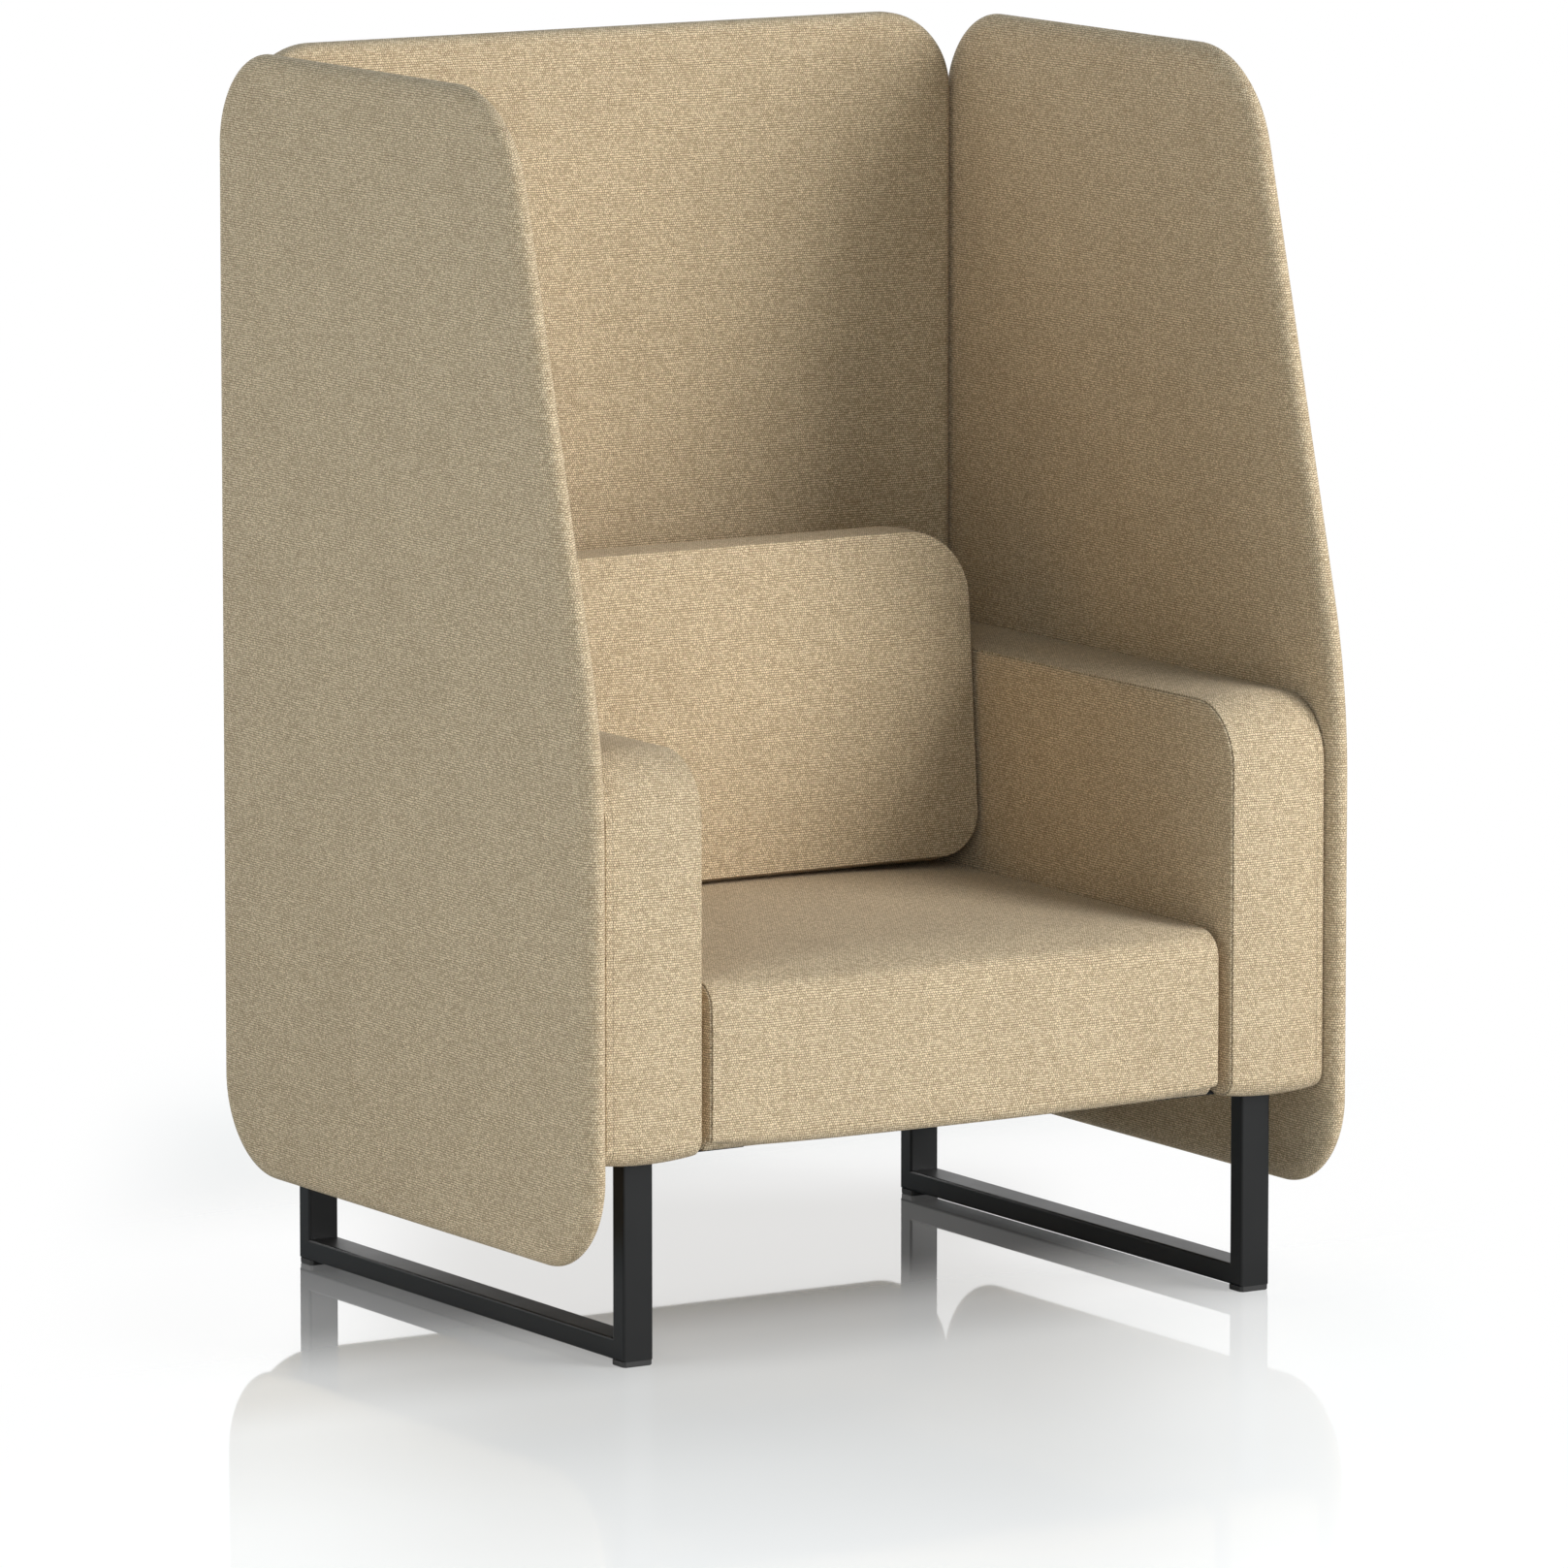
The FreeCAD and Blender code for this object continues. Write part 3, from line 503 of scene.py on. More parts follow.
def side_outline(sizes):
    """Outline of a side panel: a slanted upper front edge that blends into an upright lower edge."""
    tip = sizes.front + (sizes.top - sizes.bend_height) * math.tan(sizes.slant)
    corners = [
        (sizes.front, sizes.bottom),
        (sizes.rear, sizes.bottom),
        (sizes.rear, sizes.top),
        (tip, sizes.top),
        (sizes.front, sizes.bend_height),
    ]
    radii = [sizes.corner_radius, sizes.corner_radius, sizes.corner_radius, sizes.tip_radius, sizes.bend_radius]
    return Outline(corners, radii, (24, 24, 24, 28, 24), (60, 100, 48, 40, 48))


def back_outline(sizes):
    """Outline of the back panel: an upright rectangle with rounded corners."""
    half = sizes.back_half_width
    corners = upright_box(-half, half, sizes.bottom, sizes.top)
    return Outline(corners, [sizes.back_corner_radius] * 4, (24,) * 4, (70, 100, 70, 100))


def arm_outline(sizes):
    """Outline of an arm seen from its side, with a large radius at the upper front."""
    corners = upright_box(sizes.arm_front, sizes.arm_rear, sizes.arm_bottom, sizes.arm_top)
    return Outline(corners, np.array([22.0, 8.0, 8.0, 76.0]) * MM, (12, 6, 6, 32), (90, 50, 90, 50))


def looks(normals):
    """The shares by which normals in y and z look up, down and to the front."""
    y, z = normals[..., 0], normals[..., 1]
    return np.clip([z, -z, -y], 0.0, 1.0)


def arm_form(points, normals, side):
    """Padding of an arm: it swells by 1 - s squared across the band, most on the top, less below and in front."""
    upward, downward, forward = looks(normals) ** 2
    amount = (7.0 * upward + 5.0 * downward + 3.0 * forward) * MM * (1 - side ** 2)
    return normals * amount[..., None]


def seat_outline(sizes):
    """Outline of the seat seen from its side, with a rolled front edge."""
    corners = upright_box(sizes.seat_front, sizes.seat_rear, sizes.seat_bottom, sizes.seat_top)
    return Outline(corners, np.array([14.0, 8.0, 8.0, 32.0]) * MM, (8, 6, 6, 20), (74, 24, 84, 24))


def seat_form(points, normals, side):
    """Padding of the seat.

    The top rises by 3 mm times 1 - s squared across, and by a bow from front to rear: 1 - t squared, where t is zero
    at the crest and one at the front edge, from 3 mm at the sides to 8 mm in the middle. The front swells a little.
    Its lower edge is lifted by 14 mm times s to the power 10 at the sides, and the turned-under cloth behind it is
    drawn level with the frame's underside.
    """
    sizes = booth().seating
    swell = 1 - side ** 2
    along = (points[..., 0] - sizes.seat_crest) / (sizes.seat_crest - sizes.seat_front)
    bow = np.clip(1 - along ** 2, 0.0, 1.0)
    upward, downward, forward = looks(normals)
    middle_height = (points[..., 1] - sizes.seat_bottom) / (sizes.seat_top - sizes.seat_bottom)
    front_bow = (1.0 + 1.5 * swell) * np.clip(4 * middle_height * (1 - middle_height), 0.0, 1.0)
    rise = (3.0 * swell + bow * (3.0 + 5.0 * swell)) * upward ** 1.5
    under = ramp(points[..., 0] - sizes.seat_front, 8 * MM, 22 * MM)
    sag = (4.0 * swell - 14.0 * side ** 10) * (1 - under) + 3.4 * under
    amount = (rise + (2.0 * swell + front_bow) * forward ** 2 + sag * downward ** 2) * MM
    return normals * amount[..., None]


def seat_hold(points):
    """Grip on the seat's cover: whole at the seams, below and at the rear, half on the front, none on the top."""
    sizes = booth().seating
    x, y, z = points.T
    across = ramp(sizes.seat_half - np.abs(x), 3 * MM, 40 * MM)
    along = ramp(sizes.seat_rear - y, 30 * MM, 90 * MM)
    front = 0.45 * ramp(z, sizes.seat_bottom + 15 * MM, sizes.seat_bottom + 50 * MM)
    top = ramp(z, sizes.seat_top - 20 * MM, sizes.seat_top)
    return 1 - across * along * np.maximum(front, top)


def cushion_hold(points):
    """Grip on the back cushion's cover: whole on the boxing and the rear, none on the crowned face."""
    sizes = booth().seating
    y, z = points[:, 1] - sizes.cushion_seam, points[:, 2] - sizes.cushion_low
    out = z * math.sin(sizes.cushion_lean) - y * math.cos(sizes.cushion_lean)
    return 1 - ramp(out, 1.5 * MM, 14 * MM)


def rest_outline(sizes):
    """Outline of the pad behind the back cushion: its front leans with the cushion."""
    lean = math.tan(sizes.cushion_lean)
    low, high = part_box("back_rest_pad")
    bottom, top = low[2], high[2] - 6 * MM
    corners = upright_box(low[1], high[1], bottom, top)
    corners[-1] = (low[1] + (top - bottom) * lean, top)
    return Outline(corners, np.array([6.0, 6.0, 6.0, 40.0]) * MM, (6, 6, 6, 18), (18, 40, 12, 40))


def rest_form(points, normals, side):
    """Padding of the back rest pad: its top rises by 1 - s squared across."""
    return normals * (6 * MM * looks(normals)[0] ** 2 * (1 - side ** 2))[..., None]


def cushion_rings(deep, half_height, crown):
    """Rings of the back cushion from the middle of its rear face to the middle of its front face.

    Each ring is (out, inset, t, seam): out is the distance before the seam's plane, inset draws the outline in, t runs
    to one at the middle of a face, and seam is the painted shade of the crease. Both faces rise by their crown times
    1 - (1 - t) to the power 2.6. The boxing strip swells by 5 mm times 1 - s squared and ends in a crease, and the
    face's edge turns over it in a lip of about 1 mm radius.
    """
    ease = 1 - np.linspace(1.0, 0.0, 30) ** 1.7
    rise = 1 - (1 - ease) ** 2.6
    rear = np.stack([-deep - 5 * MM * rise, ease * half_height, ease, 0 * ease], axis=1)[::-1]
    strip = np.concatenate([np.linspace(-1.0, 0.86, 16)[1:], [0.90, 0.93]])
    boxing = np.stack([(strip - 1) * deep / 2, -5 * MM * (1 - strip ** 2), 0 * strip, 0 * strip], axis=1)
    # The last column of the edge rings is painted shade at the sewn edge
    edge = np.array([
        (-3.2, 0.2, 0.0, 0.5), (-2.6, 0.9, 0.0, 0.9), (-2.1, 0.5, 0.0, 0.6), (-1.7, -0.3, 0.0, 0.1),
        (-1.0, -0.8, 0.0, 0.0), (-0.2, -0.7, 0.0, 0.0), (0.3, -0.2, 0.0, 0.0), (0.5, 0.6, 0.0, 0.0)]) * (MM, MM, 1, 1)
    face = np.stack([
        0.6 * MM + crown * rise, 1.4 * MM + ease * (half_height - 1.4 * MM), ease, 0 * ease], axis=1)
    return np.concatenate([rear, boxing, edge, face])


def cushion_mesh(name, sizes):
    """The leaning back cushion: a boxed form with a crowned face and a sewn edge.

    Rings of a rounded outline lie in planes along the seam, and their corner radii shrink with 1 - t, so the last ring
    on each face is a line along its middle. The lower boxing sags 4 mm more and rests on the seat. The cloth is laid
    flat on the face and runs over the boxing square to the outline.
    """
    lean = sizes.cushion_lean
    half_height = (sizes.cushion_high - sizes.cushion_low) / math.cos(lean) / 2
    corners = np.array([(-1, -1), (1, -1), (1, 1), (-1, 1)]) * (sizes.cushion_half, half_height)
    radii = np.array([52.0, 52.0, 85.0, 85.0]) * MM
    outline = Outline(corners, radii, (12, 12, 16, 16), (90, 40, 90, 40))
    rings = cushion_rings(sizes.cushion_deep, half_height, sizes.cushion_crown)
    drawn = [outline.ring(min(inset, half_height - 2e-7), radii * (1 - t) + 1e-7) for _, inset, t, _ in rings]
    flat = np.stack([points for points, _ in drawn])
    outward = np.stack([normals for _, normals in drawn])
    out = np.broadcast_to(rings[:, 0][:, None], flat.shape[:2])
    strip = np.clip(-2 * out / sizes.cushion_deep - 1, -1.0, 1.0)
    sag = 4 * MM * (1 - strip ** 2) * looks(outward)[1] ** 2
    u, v = flat[..., 0], flat[..., 1] + half_height - sag
    up = np.array([0.0, math.sin(lean), math.cos(lean)])
    ahead = np.array([0.0, -math.cos(lean), math.sin(lean)])
    origin = np.array([0.0, sizes.cushion_seam, sizes.cushion_low])
    points = origin + v[..., None] * up + out[..., None] * ahead
    points[..., 0] += u
    places = flat + outward * np.clip(-out, 0.0, sizes.cushion_deep)[..., None]
    return sewn_mesh(name, [(points, places, rings[:, 3])])


# Shader helpers

class Value:
    """A number socket. Python arithmetic on it adds Math nodes."""

    def __init__(self, finish, socket):
        self.finish = finish
        self.socket = socket

    def math(self, operation, *others):
        """One Math node on this value and up to two more."""
        sockets = {0: self}
        for i, other in enumerate(others):
            sockets[i + 1] = other
        return self.finish.value("ShaderNodeMath", {"operation": operation}, sockets)

    def __add__(self, other):
        return self.math("ADD", other)

    __radd__ = __add__

    def __mul__(self, other):
        return self.math("MULTIPLY", other)

    __rmul__ = __mul__

    def __sub__(self, other):
        return self.math("SUBTRACT", other)

    def __rsub__(self, other):
        return (self * -1.0) + other

    def __truediv__(self, other):
        return self.math("DIVIDE", other)

    def __pow__(self, other):
        return self.math("POWER", other)

    def floor(self):
        return self.math("FLOOR")

    def fract(self):
        return self.math("FRACT")

    def sine(self):
        return self.math("SINE")

    def absolute(self):
        return self.math("ABSOLUTE")

    def between(self, low, high):
        """Smooth step from zero at low to one at high."""
        return self.finish.value(
            "ShaderNodeMapRange", {"interpolation_type": "SMOOTHSTEP"},
            {"Value": self, "From Min": low, "From Max": high, "To Min": 0.0, "To Max": 1.0})


class Finish:
    """A material or a world, and the nodes that give it its detail."""

    def __init__(self, name, library=None):
        self.owner = (bpy.data.materials if library is None else library).new(name)
        self.owner.use_nodes = True
        self.tree = self.owner.node_tree
        self.tree.nodes.clear()

    def node(self, kind, settings=None, sockets=None):
        """Adds a node: its settings first, then the values or links of its sockets by name or number."""
        made = self.tree.nodes.new(kind)
        for key, setting in (settings or {}).items():
            setattr(made, key, setting)
        for key, given in (sockets or {}).items():
            socket = made.inputs[key] if isinstance(key, int) else self.find(made.inputs, key)
            link = given.socket if isinstance(given, Value) else given
            if isinstance(link, bpy.types.NodeSocket):
                self.tree.links.new(link, socket)
            else:
                socket.default_value = link
        return made

    @staticmethod
    def find(sockets, key):
        """The socket with that identifier, or else that name."""
        for socket in sockets:
            if socket.identifier == key:
                return socket
        return sockets[key]

    def value(self, kind, settings=None, sockets=None, output=0):
        """A node's output as a value for arithmetic."""
        return Value(self, self.node(kind, settings, sockets).outputs[output])

    @staticmethod
    def colour(given):
        """A socket as it is, or three numbers as an opaque colour."""
        return given if isinstance(given, bpy.types.NodeSocket) else tuple(given) + (1.0,)

    def mix(self, share, first, second):
        """Mix of two colours."""
        made = self.node(
            "ShaderNodeMix", {"data_type": "RGBA"},
            {"Factor_Float": share, "A_Color": self.colour(first), "B_Color": self.colour(second)})
        return self.find(made.outputs, "Result_Color")

    def join(self, x, y, z=0.0):
        """A vector from three values."""
        return self.node("ShaderNodeCombineXYZ", None, {"X": x, "Y": y, "Z": z}).outputs[0]

    def parts(self, vector):
        """The three values of a vector."""
        split = self.node("ShaderNodeSeparateXYZ", None, {"Vector": vector})
        return [Value(self, output) for output in split.outputs]

    def place(self, scale=(1.0, 1.0, 1.0)):
        """Object coordinates, scaled."""
        coordinates = self.node("ShaderNodeTexCoord").outputs["Object"]
        return self.node("ShaderNodeMapping", None, {"Vector": coordinates, "Scale": scale}).outputs[0]

    def noise(self, vector, scale, detail=2.0, roughness=0.5):
        """Smooth noise from zero to one."""
        return self.value(
            "ShaderNodeTexNoise", {"noise_dimensions": "3D"},
            {"Vector": vector, "Scale": scale, "Detail": detail, "Roughness": roughness})

    def speck(self, vector):
        """A random number for each point of a stepped vector."""
        return self.value("ShaderNodeTexWhiteNoise", {"noise_dimensions": "2D"}, {"Vector": vector})

    def bump(self, height, distance, strength=1.0):
        """Normal raised by a height."""
        return self.node(
            "ShaderNodeBump", None, {"Height": height, "Distance": distance, "Strength": strength}).outputs[0]

    def blend(self, share, first, second):
        """Mix of two shaders."""
        return self.node("ShaderNodeMixShader", None, {0: share, 1: first.outputs[0], 2: second.outputs[0]})

    def surface(self, **sockets):
        """Principled shader to the output. Underscores in names stand for spaces."""
        named = {key.replace("_", " "): given for key, given in sockets.items()}
        shader = self.node("ShaderNodeBsdfPrincipled", None, named)
        self.node("ShaderNodeOutputMaterial", None, {"Surface": shader.outputs[0]})
        return self.owner


def scaled(tone, share):
    """A colour made darker or paler by a share."""
    return tuple(min(1.0, channel * share) for channel in tone)


def woven_cover(finishes):
    """Melange weave: rows of short nubby floats on the cloth map, brown between them, cream and rose flecks.

    A row is v over the row pitch and a float is u over the stitch pitch, both bent by noise, and every other row is
    shifted by half a float and a random share. The relief is the product of sin(pi row) and sin(pi float), each eased
    by a power, and broken up by fine noise, so that some gaps are open and dark. Low relief shows the brown between
    the floats and also paints shade into the gaps, and high relief makes a float paler, a painted highlight. The seam
    map paints shade into the creases.
    """
    finish = Finish("cover_weave")
    cloth = finish.node("ShaderNodeUVMap", {"uv_map": CLOTH_MAP}).outputs[0]
    seam = finish.value("ShaderNodeAttribute", {"attribute_name": CREASE_SHADE_MAP}, None, "Fac")
    u, v, _ = finish.parts(cloth)
    drift = finish.noise(cloth, 24.0, 2.0)
    sway = finish.noise(finish.join(u * 0.6, v), 300.0, 1.0)
    row = (v + (drift - 0.5) * 0.0024 + (sway - 0.5) * 0.0018) / finishes.row_pitch
    row_number = row.floor()
    ridge = (row.fract() * math.pi).sine()
    shift = finish.speck(finish.join(row_number, 3.7)) * 0.35 + (row_number * 0.5).fract()
    pull = finish.noise(finish.join(u + 0.31, v * 0.6), 300.0, 1.0)
    stitch = u / finishes.stitch_pitch + shift + (pull - 0.5) * 0.9
    stitch_number = stitch.floor()
    float_form = (stitch.fract() * math.pi).sine()
    tone = finish.speck(finish.join(stitch_number, row_number))
    fleck = finish.speck(finish.join(stitch_number + 17.3, row_number * 1.31))
    nub = finish.noise(cloth, 620.0, 1.5, 0.6)
    relief = (ridge ** 0.8) * (float_form ** 0.6) * 0.85 + nub * 0.65 - 0.30
    # Cream yarn at random, and raised floats paler as well: a painted highlight on the relief
    pale_share = (tone * 0.50 + nub * 0.50 + relief * 0.50).between(0.45, 1.12)
    yarn = finish.mix(pale_share, finishes.yarn, finishes.yarn_pale)
    yarn = finish.mix(fleck.between(0.86, 0.97) * 0.20, yarn, finishes.yarn_rose)
    # Low relief shows the brown between the floats, and open gaps are darker still: painted shade
    covered = relief.between(0.12, 0.52) * 0.80 + 0.20
    open_gap_shade = (1.0 - relief).between(0.62, 0.95) * fleck.between(0.20, 0.70)
    colour = finish.mix(covered, finishes.yarn_dark, yarn)
    colour = finish.mix(open_gap_shade * 0.70, colour, scaled(finishes.yarn_dark, 0.7))
    cloud = finish.noise(cloth, 9.0, 3.0)
    colour = finish.mix(cloud.between(0.30, 0.75) * 0.08, colour, finishes.yarn_dark)
    # Painted shade in the seams' creases, from the seam attribute
    colour = finish.mix(seam * 0.80, colour, scaled(finishes.yarn_dark, 0.20))
    fuzz = finish.noise(cloth, 2600.0, 1.0)
    height = relief * 0.85 + fuzz * 0.15
    return finish.surface(
        Base_Color=colour,
        Roughness=1.0 - relief * 0.14,
        Normal=finish.bump(height, 0.0009, 0.6),
        Sheen_Weight=0.08,
        Sheen_Roughness=0.5,
        Specular_IOR_Level=0.18,
    )


def coated_steel(finishes):
    """Satin black powder coat: fine orange-peel relief, darker patches and slight rub marks."""
    finish = Finish("black_powder_coat")
    place = finish.place()
    peel = finish.noise(place, 1500.0, 2.0)
    patch = finish.noise(place, 14.0, 4.0, 0.6)
    rub = finish.noise(finish.place((40.0, 6.0, 90.0)), 9.0, 5.0, 0.65).between(0.60, 0.78)
    colour = finish.mix(rub * 0.35, finishes.steel, (0.018, 0.0175, 0.017))
    colour = finish.mix(patch.between(0.35, 0.75) * 0.30, colour, (0.004, 0.004, 0.004))
    return finish.surface(
        Base_Color=colour,
        Roughness=0.30 + patch * 0.12 + rub * 0.06,
        Normal=finish.bump(peel, 0.0002, 0.35),
        Specular_IOR_Level=0.32,
    )


def moulded_plastic(finishes):
    """Matt moulded plastic with a spark-eroded grain and scuffs from the floor."""
    finish = Finish("glide_plastic")
    place = finish.place()
    grain = finish.noise(place, 2200.0, 3.0, 0.6)
    scuff = finish.noise(finish.place((300.0, 40.0, 900.0)), 1.0, 4.0, 0.6).between(0.55, 0.80)
    colour = finish.mix(scuff * 0.5, finishes.plastic, (0.060, 0.058, 0.056))
    return finish.surface(
        Base_Color=colour,
        Roughness=0.55 + grain * 0.20,
        Normal=finish.bump(grain, 0.00015, 0.5),
    )


def sawn_wood(name, tone, scale, ring_scale):
    """Wood with long grain: bands of stretched noise, pores along the grain and a slow change of tone."""
    finish = Finish(name)
    stretched = finish.place(scale)
    bands = finish.noise(stretched, ring_scale, 5.0, 0.62)
    pores = finish.noise(stretched, ring_scale * 9.0, 2.0)
    slow = finish.noise(finish.place(), 5.0, 2.0)
    dark = scaled(tone, 0.52)
    colour = finish.mix(bands.between(0.32, 0.68), dark, scaled(tone, 1.18))
    colour = finish.mix(slow.between(0.3, 0.7) * 0.5, colour, tone)
    colour = finish.mix(pores.between(0.58, 0.70) * 0.35, colour, dark)
    return finish.surface(
        Base_Color=colour,
        Roughness=0.62 + bands * 0.18,
        Normal=finish.bump(bands * 0.5 + pores * 0.5, 0.0003, 0.5),
        Specular_IOR_Level=0.3,
    )


def strap_weave(finishes):
    """Elastic webbing: fine ribs across the strap and paler rubber threads along it."""
    finish = Finish("strap_weave")
    x, y, _ = finish.parts(finish.place())
    ribs = (((x + y) * (math.pi / 0.0016)).sine() * 0.5) + 0.5
    threads = (((x - y) * (math.pi / 0.0042)).sine() * 0.5) + 0.5
    worn = finish.noise(finish.place(), 30.0, 3.0)
    colour = finish.mix(threads.between(0.45, 0.95) * 0.6, finishes.webbing, (0.24, 0.19, 0.14))
    colour = finish.mix(worn.between(0.4, 0.8) * 0.4, colour, finishes.webbing)
    return finish.surface(
        Base_Color=colour,
        Roughness=0.80 + ribs * 0.12,
        Normal=finish.bump(ribs * 0.7 + threads * 0.3, 0.0005, 0.6),
    )


def pressed_cloth(finishes):
    """Non-woven dust cloth: a pattern of pressed dots and loose fibre."""
    finish = Finish("pressed_dust_cloth")
    place = finish.place()
    x, y, _ = finish.parts(place)
    dots = ((x * (math.pi / 0.0022)).sine() * (y * (math.pi / 0.0022)).sine()).absolute()
    fibre = finish.noise(finish.place((1.0, 3.0, 1.0)), 700.0, 4.0, 0.7)
    colour = finish.mix(fibre.between(0.4, 0.8), finishes.dust_cloth, (0.052, 0.050, 0.049))
    return finish.surface(
        Base_Color=colour,
        Roughness=0.88 + fibre * 0.1,
        Normal=finish.bump(dots * 0.6 + fibre * 0.4, 0.0004, 0.6),
    )


def plated_steel(finishes):
    """Zinc plate: a bright spangle, fine brushing and duller patches."""
    finish = Finish("zinc_plate")
    spangle = finish.noise(finish.place(), 260.0, 2.0)
    brush = finish.noise(finish.place((40.0, 40.0, 900.0)), 6.0, 2.0)
    colour = finish.mix(spangle.between(0.35, 0.65), finishes.zinc, (0.70, 0.69, 0.64))
    return finish.surface(
        Base_Color=colour,
        Metallic=0.96 + spangle * 0.04,
        Roughness=0.30 + spangle * 0.18 + brush * 0.08,
        Normal=finish.bump(brush, 0.0001, 0.4),
    )


def studio_floor(finishes):
    """Pale polished floor: a dull share that takes the shadow and a mirror share that shows the sofa upside down.

    For the camera the mirror share falls off towards it and carries a painted shadow under the sofa, the dull share
    glows with a lift that is dimmer in the middle and near the sofa, which is painted shade, and both fade to white at
    the sides and behind the sofa.
    """
    finish = Finish("studio_floor")
    place = finish.place()
    cloud = finish.noise(place, 0.6, 2.0)
    fine = finish.noise(place, 60.0, 3.0)
    seen = finish.value("ShaderNodeLightPath", None, None, "Is Camera Ray")
    plain = finish.mix(cloud * 0.06, finishes.floor, (0.74, 0.74, 0.73))
    x, y, _ = finish.parts(place)
    towards = x * TOWARDS[0] + y * TOWARDS[1]
    across = x * ACROSS[0] + y * ACROSS[1]
    aside = across.absolute()
    forward = y * -1.0
    mirrored = 0.97 - forward.between(-0.05, 0.27) * 0.47 - forward.between(0.27, 0.50) * 0.23
    mirrored = mirrored - forward.between(0.50, 1.00) * 0.12 - forward.between(1.00, 2.40) * 0.15
    mirrored = mirrored * (0.95 - towards.between(-0.30, 0.50) * 0.20) * (1.0 - y.between(0.45, 0.95) * 0.7)
    # Painted shadow under the sofa, a soft patch set by place
    shade = across.between(-0.60, -0.34) * (1.0 - across.between(0.18, 0.40))
    shade = shade * towards.between(-0.95, -0.40) * (1.0 - towards.between(0.30, 1.00))
    near = (1.0 - aside.between(0.68, 0.92)) * towards.between(-1.70, -0.95)
    # Glow of the dull share for the camera, dimmer in the middle and near the sofa: painted shade
    lift = finish.mix(aside.between(0.25, 0.60), (0.50, 0.495, 0.485), (0.68, 0.68, 0.675))
    lift = finish.mix(towards.between(0.70, 2.30) * 0.8, lift, (0.80, 0.80, 0.795))
    dull = finish.node("ShaderNodeBsdfPrincipled", None, {
        "Base Color": finish.mix(seen, plain, finishes.floor_seen),
        "Roughness": 0.6 + fine * 0.2,
        "Specular IOR Level": 0.0,
        "Emission Color": finish.mix(seen, (0.0, 0.0, 0.0), lift),
        "Emission Strength": 1.0,
    })
    # The mirror's colour darkens under the painted shadow
    mirror = finish.node("ShaderNodeBsdfPrincipled", None, {
        "Base Color": finish.mix(shade, WHITE, (0.66, 0.65, 0.635)),
        "Metallic": 1.0,
        "Roughness": 0.02 + fine * 0.02,
    })
    polished = finish.blend(seen * mirrored, dull, mirror)
    white = finish.node("ShaderNodeEmission", None, {"Color": finish.colour(WHITE), "Strength": 1.0})
    faded = finish.blend(seen * (1.0 - near), polished, white)
    finish.node("ShaderNodeOutputMaterial", None, {"Surface": faded.outputs[0]})
    return finish.owner


def dress(nodes, material):
    """Gives nodes of the frame a finish."""
    for name in nodes:
        mesh = NODES[name].data
        mesh.materials.clear()
        mesh.materials.append(material)


# Operators

class BOOTH_OT_side_panels(bpy.types.Operator):
    """Wraps both side privacy panels in cloth"""
    bl_idname = "booth.side_panels"
    bl_label = "Side panels"

    def execute(self, context):
        sizes = booth().panels
        half = sizes.thickness / 2
        outline = side_outline(sizes)
        for side in SIDES:
            sign = SIDE_SIGN[side]

            def to_space(y, z, depth):
                return np.stack([sign * (sizes.middle - half + depth), y, z], axis=-1)

            rim = (half, sizes.rim)
            mesh = wrapped_board(side + "_panel_cover", outline, to_space, sizes.thickness, rim, rim)
            piece = place_piece(mesh, (side + "_panel_outer_pad", side + "_panel_inner_pad"))
        return {"FINISHED"}


class BOOTH_OT_back_panel(bpy.types.Operator):
    """Wraps the back privacy panel in cloth"""
    bl_idname = "booth.back_panel"
    bl_label = "Back panel"

    def execute(self, context):
        sizes = booth().panels
        half = sizes.back_thickness / 2

        def to_space(x, z, depth):
            return np.stack([x, sizes.back_middle - half + depth, z], axis=-1)

        front, rear = (half, half), (sizes.back_rear_edge, sizes.back_rear_edge)
        mesh = wrapped_board("back_panel_cover", back_outline(sizes), to_space, sizes.back_thickness, front, rear)
        piece = place_piece(mesh, ("back_panel_front_pad", "back_panel_rear_pad"))
        return {"FINISHED"}


class BOOTH_OT_arms(bpy.types.Operator):
    """Makes the two boxed arms"""
    bl_idname = "booth.arms"
    bl_label = "Arms"

    def execute(self, context):
        sizes = booth().seating
        outline = arm_outline(sizes)
        for side in SIDES:
            sign = SIDE_SIGN[side]
            low, high = sorted((sign * sizes.arm_inner, sign * sizes.arm_outer))
            lines = (0.0, 1.0) if sign > 0 else (1.0, 0.0)
            mesh = boxed_band(side + "_arm", outline, low, high, arm_form, 7 * MM, lines)
            piece = place_piece(mesh, (side + "_arm_band", side + "_arm_inner_facing", side + "_arm_outer_facing"))
        return {"FINISHED"}


class BOOTH_OT_seat(bpy.types.Operator):
    """Makes the crowned seat with its side facings"""
    bl_idname = "booth.seat"
    bl_label = "Seat"

    def execute(self, context):
        sizes = booth().seating
        half = sizes.seat_half
        mesh = boxed_band("seat", seat_outline(sizes), -half, half, seat_form, 9 * MM)
        piece = place_piece(mesh, ("seat_cushion", "left_seat_facing", "right_seat_facing"))
        filled(piece, seat_hold, SEAT_MOST, SEAT_PRESSURE)
        return {"FINISHED"}


class BOOTH_OT_back_cushion(bpy.types.Operator):
    """Makes the leaning back cushion and the pad behind it"""
    bl_idname = "booth.back_cushion"
    bl_label = "Back cushion"

    def execute(self, context):
        sizes = booth().seating
        piece = place_piece(cushion_mesh("back_cushion_cover", sizes), ("back_cushion",))
        filled(piece, cushion_hold, CUSHION_MOST, CUSHION_PRESSURE)
        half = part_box("back_rest_pad")[1][0] - sizes.facing_pillow
        mesh = boxed_band("back_rest_cover", rest_outline(sizes), -half, half, rest_form, 20 * MM)
        piece = place_piece(mesh, ("back_rest_pad",))
        return {"FINISHED"}


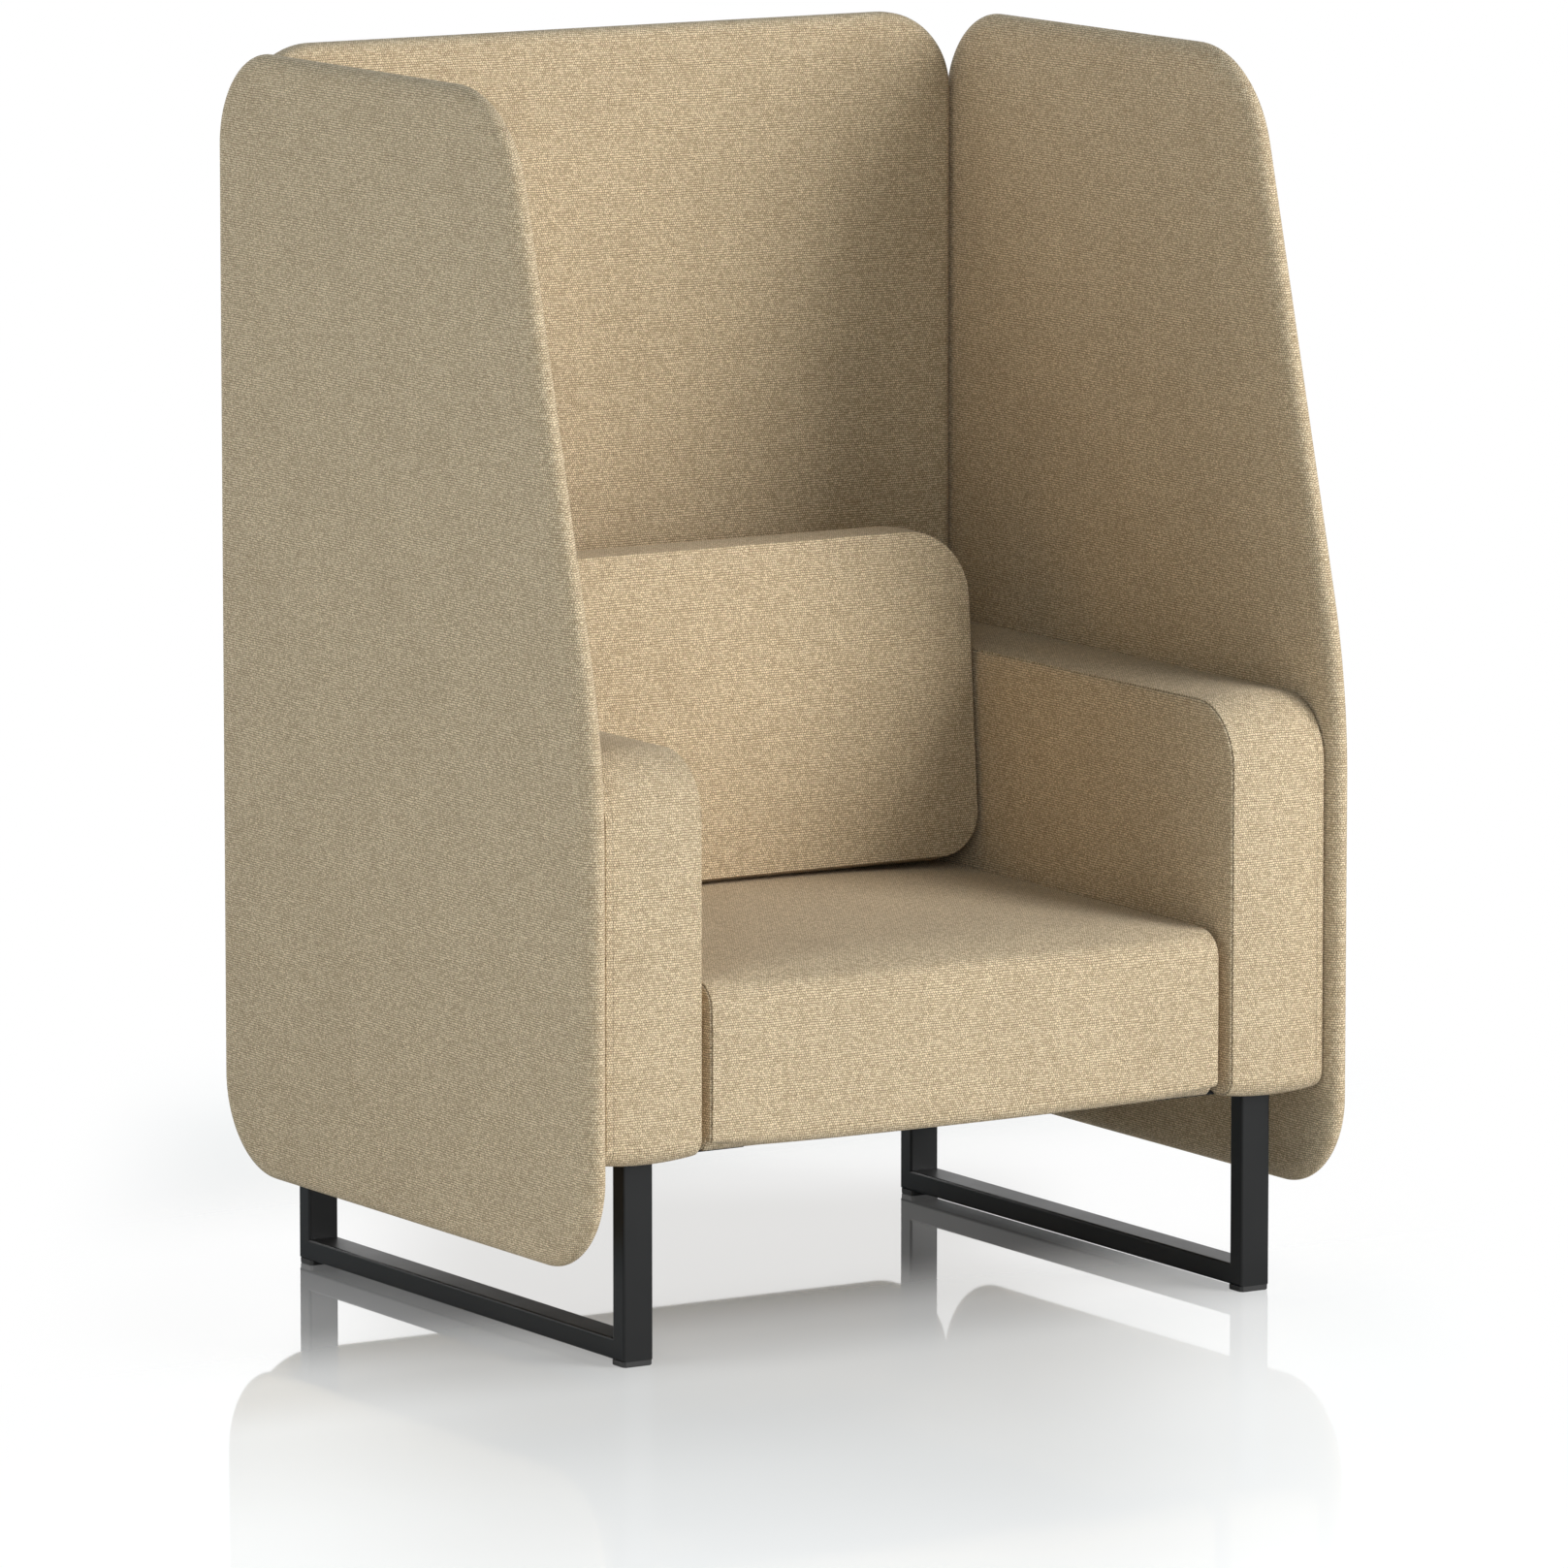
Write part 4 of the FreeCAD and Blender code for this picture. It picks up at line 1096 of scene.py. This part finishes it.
class BOOTH_OT_sled_legs(bpy.types.Operator):
    """Finishes the sled legs, their plates and their glides"""
    bl_idname = "booth.sled_legs"
    bl_label = "Sled legs"

    def execute(self, context):
        finishes = booth().finishes
        steel = coated_steel(finishes)
        plastic = moulded_plastic(finishes)
        for side in SIDES:
            parts = ("floor_rail", "front_leg", "rear_leg", "front_plate", "rear_plate")
            dress([side + "_" + part for part in parts], steel)
            dress([side + "_front_glide", side + "_rear_glide"], plastic)
        return {"FINISHED"}


class BOOTH_OT_inner_frame(bpy.types.Operator):
    """Finishes the boards, rails, straps, dust cloth and bolts inside and under the sofa"""
    bl_idname = "booth.inner_frame"
    bl_label = "Inner frame"

    def execute(self, context):
        finishes = booth().finishes
        board = sawn_wood("plywood_face", finishes.plywood, (1.0, 6.0, 0.6), 9.0)
        along_x = sawn_wood("timber_across", finishes.timber, (0.5, 8.0, 8.0), 8.0)
        along_y = sawn_wood("timber_deep", finishes.timber, (8.0, 0.5, 8.0), 8.0)
        along_z = sawn_wood("timber_upright", finishes.timber, (8.0, 8.0, 0.5), 8.0)
        dress(["back_panel_core"], board)
        dress(["seat_front_rail", "seat_rear_rail", "seat_webbing_rail", "back_lower_rail", "back_upper_rail"], along_x)
        for side in SIDES:
            dress([side + "_panel_core", side + "_arm_inner_board", side + "_arm_outer_board"], board)
            dress([side + "_arm_rails", side + "_seat_side_rail"], along_y)
            dress([side + "_back_upright"], along_z)
        dress(["seat_webbing", "seat_cross_webbing", "back_webbing"], strap_weave(finishes))
        dress(["seat_dust_cover"], pressed_cloth(finishes))
        dress(["plate_bolts", "panel_bolts", "upright_bolts"], plated_steel(finishes))
        return {"FINISHED"}


def soft_lamp(name, azimuth, elevation, size, power):
    """A square area lamp aimed at the sofa, at an angle to the right of its front and one above the floor."""
    turn, lift = math.radians(azimuth), math.radians(elevation)
    ahead = Vector((math.sin(turn) * math.cos(lift), -math.cos(turn) * math.cos(lift), math.sin(lift)))
    lamp = bpy.data.lights.new(name, "AREA")
    lamp.shape = "SQUARE"
    lamp.size = size
    lamp.energy = power
    made = linked(name, lamp)
    made.visible_camera = False
    made.location = Vector(LAMP_AIM) + ahead * LAMP_DISTANCE
    made.rotation_euler = (-ahead).to_track_quat("-Z", "Y").to_euler()


class BOOTH_OT_stage(bpy.types.Operator):
    """Sets up the floor, the lamps, the even light and the camera"""
    bl_idname = "booth.stage"
    bl_label = "Stage"

    def execute(self, context):
        scene = context.scene
        stage = booth().stage
        scene.view_settings.view_transform = "Standard"
        line = np.linspace(-40.0, 40.0, 9)
        x, y = np.meshgrid(line, line)
        mesh = sewn_mesh("studio_floor", [(np.stack([x, y, 0 * x], axis=-1), np.stack([x, y], axis=-1), 0 * line)])
        mesh.materials.append(studio_floor(booth().finishes))
        floor = linked("studio_floor", mesh)
        for name, azimuth, elevation, size, setting in LAMPS:
            soft_lamp(name, azimuth, elevation, size, getattr(stage, setting))
        self.even_light(scene, stage.ambient)
        lens = bpy.data.cameras.new("photo_camera")
        lens.lens = stage.lens
        lens.sensor_width = 36.0
        lens.clip_end = 300.0
        camera = linked("photo_camera", lens)
        camera.location = stage.camera_place
        camera.rotation_euler = stage.camera_turn
        scene.camera = camera
        return {"FINISHED"}

    @staticmethod
    def even_light(scene, ambient):
        """World: white where the camera or a polished surface looks at it, an even soft light elsewhere."""
        finish = Finish("studio_world", bpy.data.worlds)
        path = finish.node("ShaderNodeLightPath").outputs
        direct = finish.value(
            "ShaderNodeMath", {"operation": "MAXIMUM"}, {0: path["Is Camera Ray"], 1: path["Is Glossy Ray"]})
        even = finish.node("ShaderNodeBackground", None, {"Color": EVEN_TINT, "Strength": ambient})
        white = finish.node("ShaderNodeBackground", None, {"Color": finish.colour(WHITE), "Strength": 1.0})
        mixed = finish.blend(direct, even, white)
        finish.node("ShaderNodeOutputWorld", None, {"Surface": mixed.outputs[0]})
        scene.world = finish.owner


STEPS = (
    BOOTH_OT_side_panels,
    BOOTH_OT_back_panel,
    BOOTH_OT_arms,
    BOOTH_OT_seat,
    BOOTH_OT_back_cushion,
    BOOTH_OT_sled_legs,
    BOOTH_OT_inner_frame,
    BOOTH_OT_stage,
)


class BOOTH_PT_sidebar(bpy.types.Panel):
    """Lists the steps that build the sofa"""
    bl_idname = "BOOTH_PT_sidebar"
    bl_label = "Privacy booth sofa"
    bl_space_type = "VIEW_3D"
    bl_region_type = "UI"
    bl_category = "Booth"

    def draw(self, context):
        for step in STEPS:
            self.layout.operator(step.bl_idname)


CLASSES = (
    BoothPanelSizes, BoothSeatSizes, BoothFinishes, BoothStage, BoothSettings, *STEPS, BOOTH_PT_sidebar)


def register():
    """Adds the classes and the settings."""
    for made in CLASSES:
        bpy.utils.register_class(made)
    bpy.types.Scene.booth = bpy.props.PointerProperty(type=BoothSettings)


def unregister():
    """Removes the settings and the classes."""
    del bpy.types.Scene.booth
    for made in reversed(CLASSES):
        bpy.utils.unregister_class(made)


def main():
    """Builds the sofa step by step."""
    register()
    for step in STEPS:
        group, name = step.bl_idname.split(".")
        getattr(getattr(bpy.ops, group), name)()


if __name__ == "__main__":
    main()
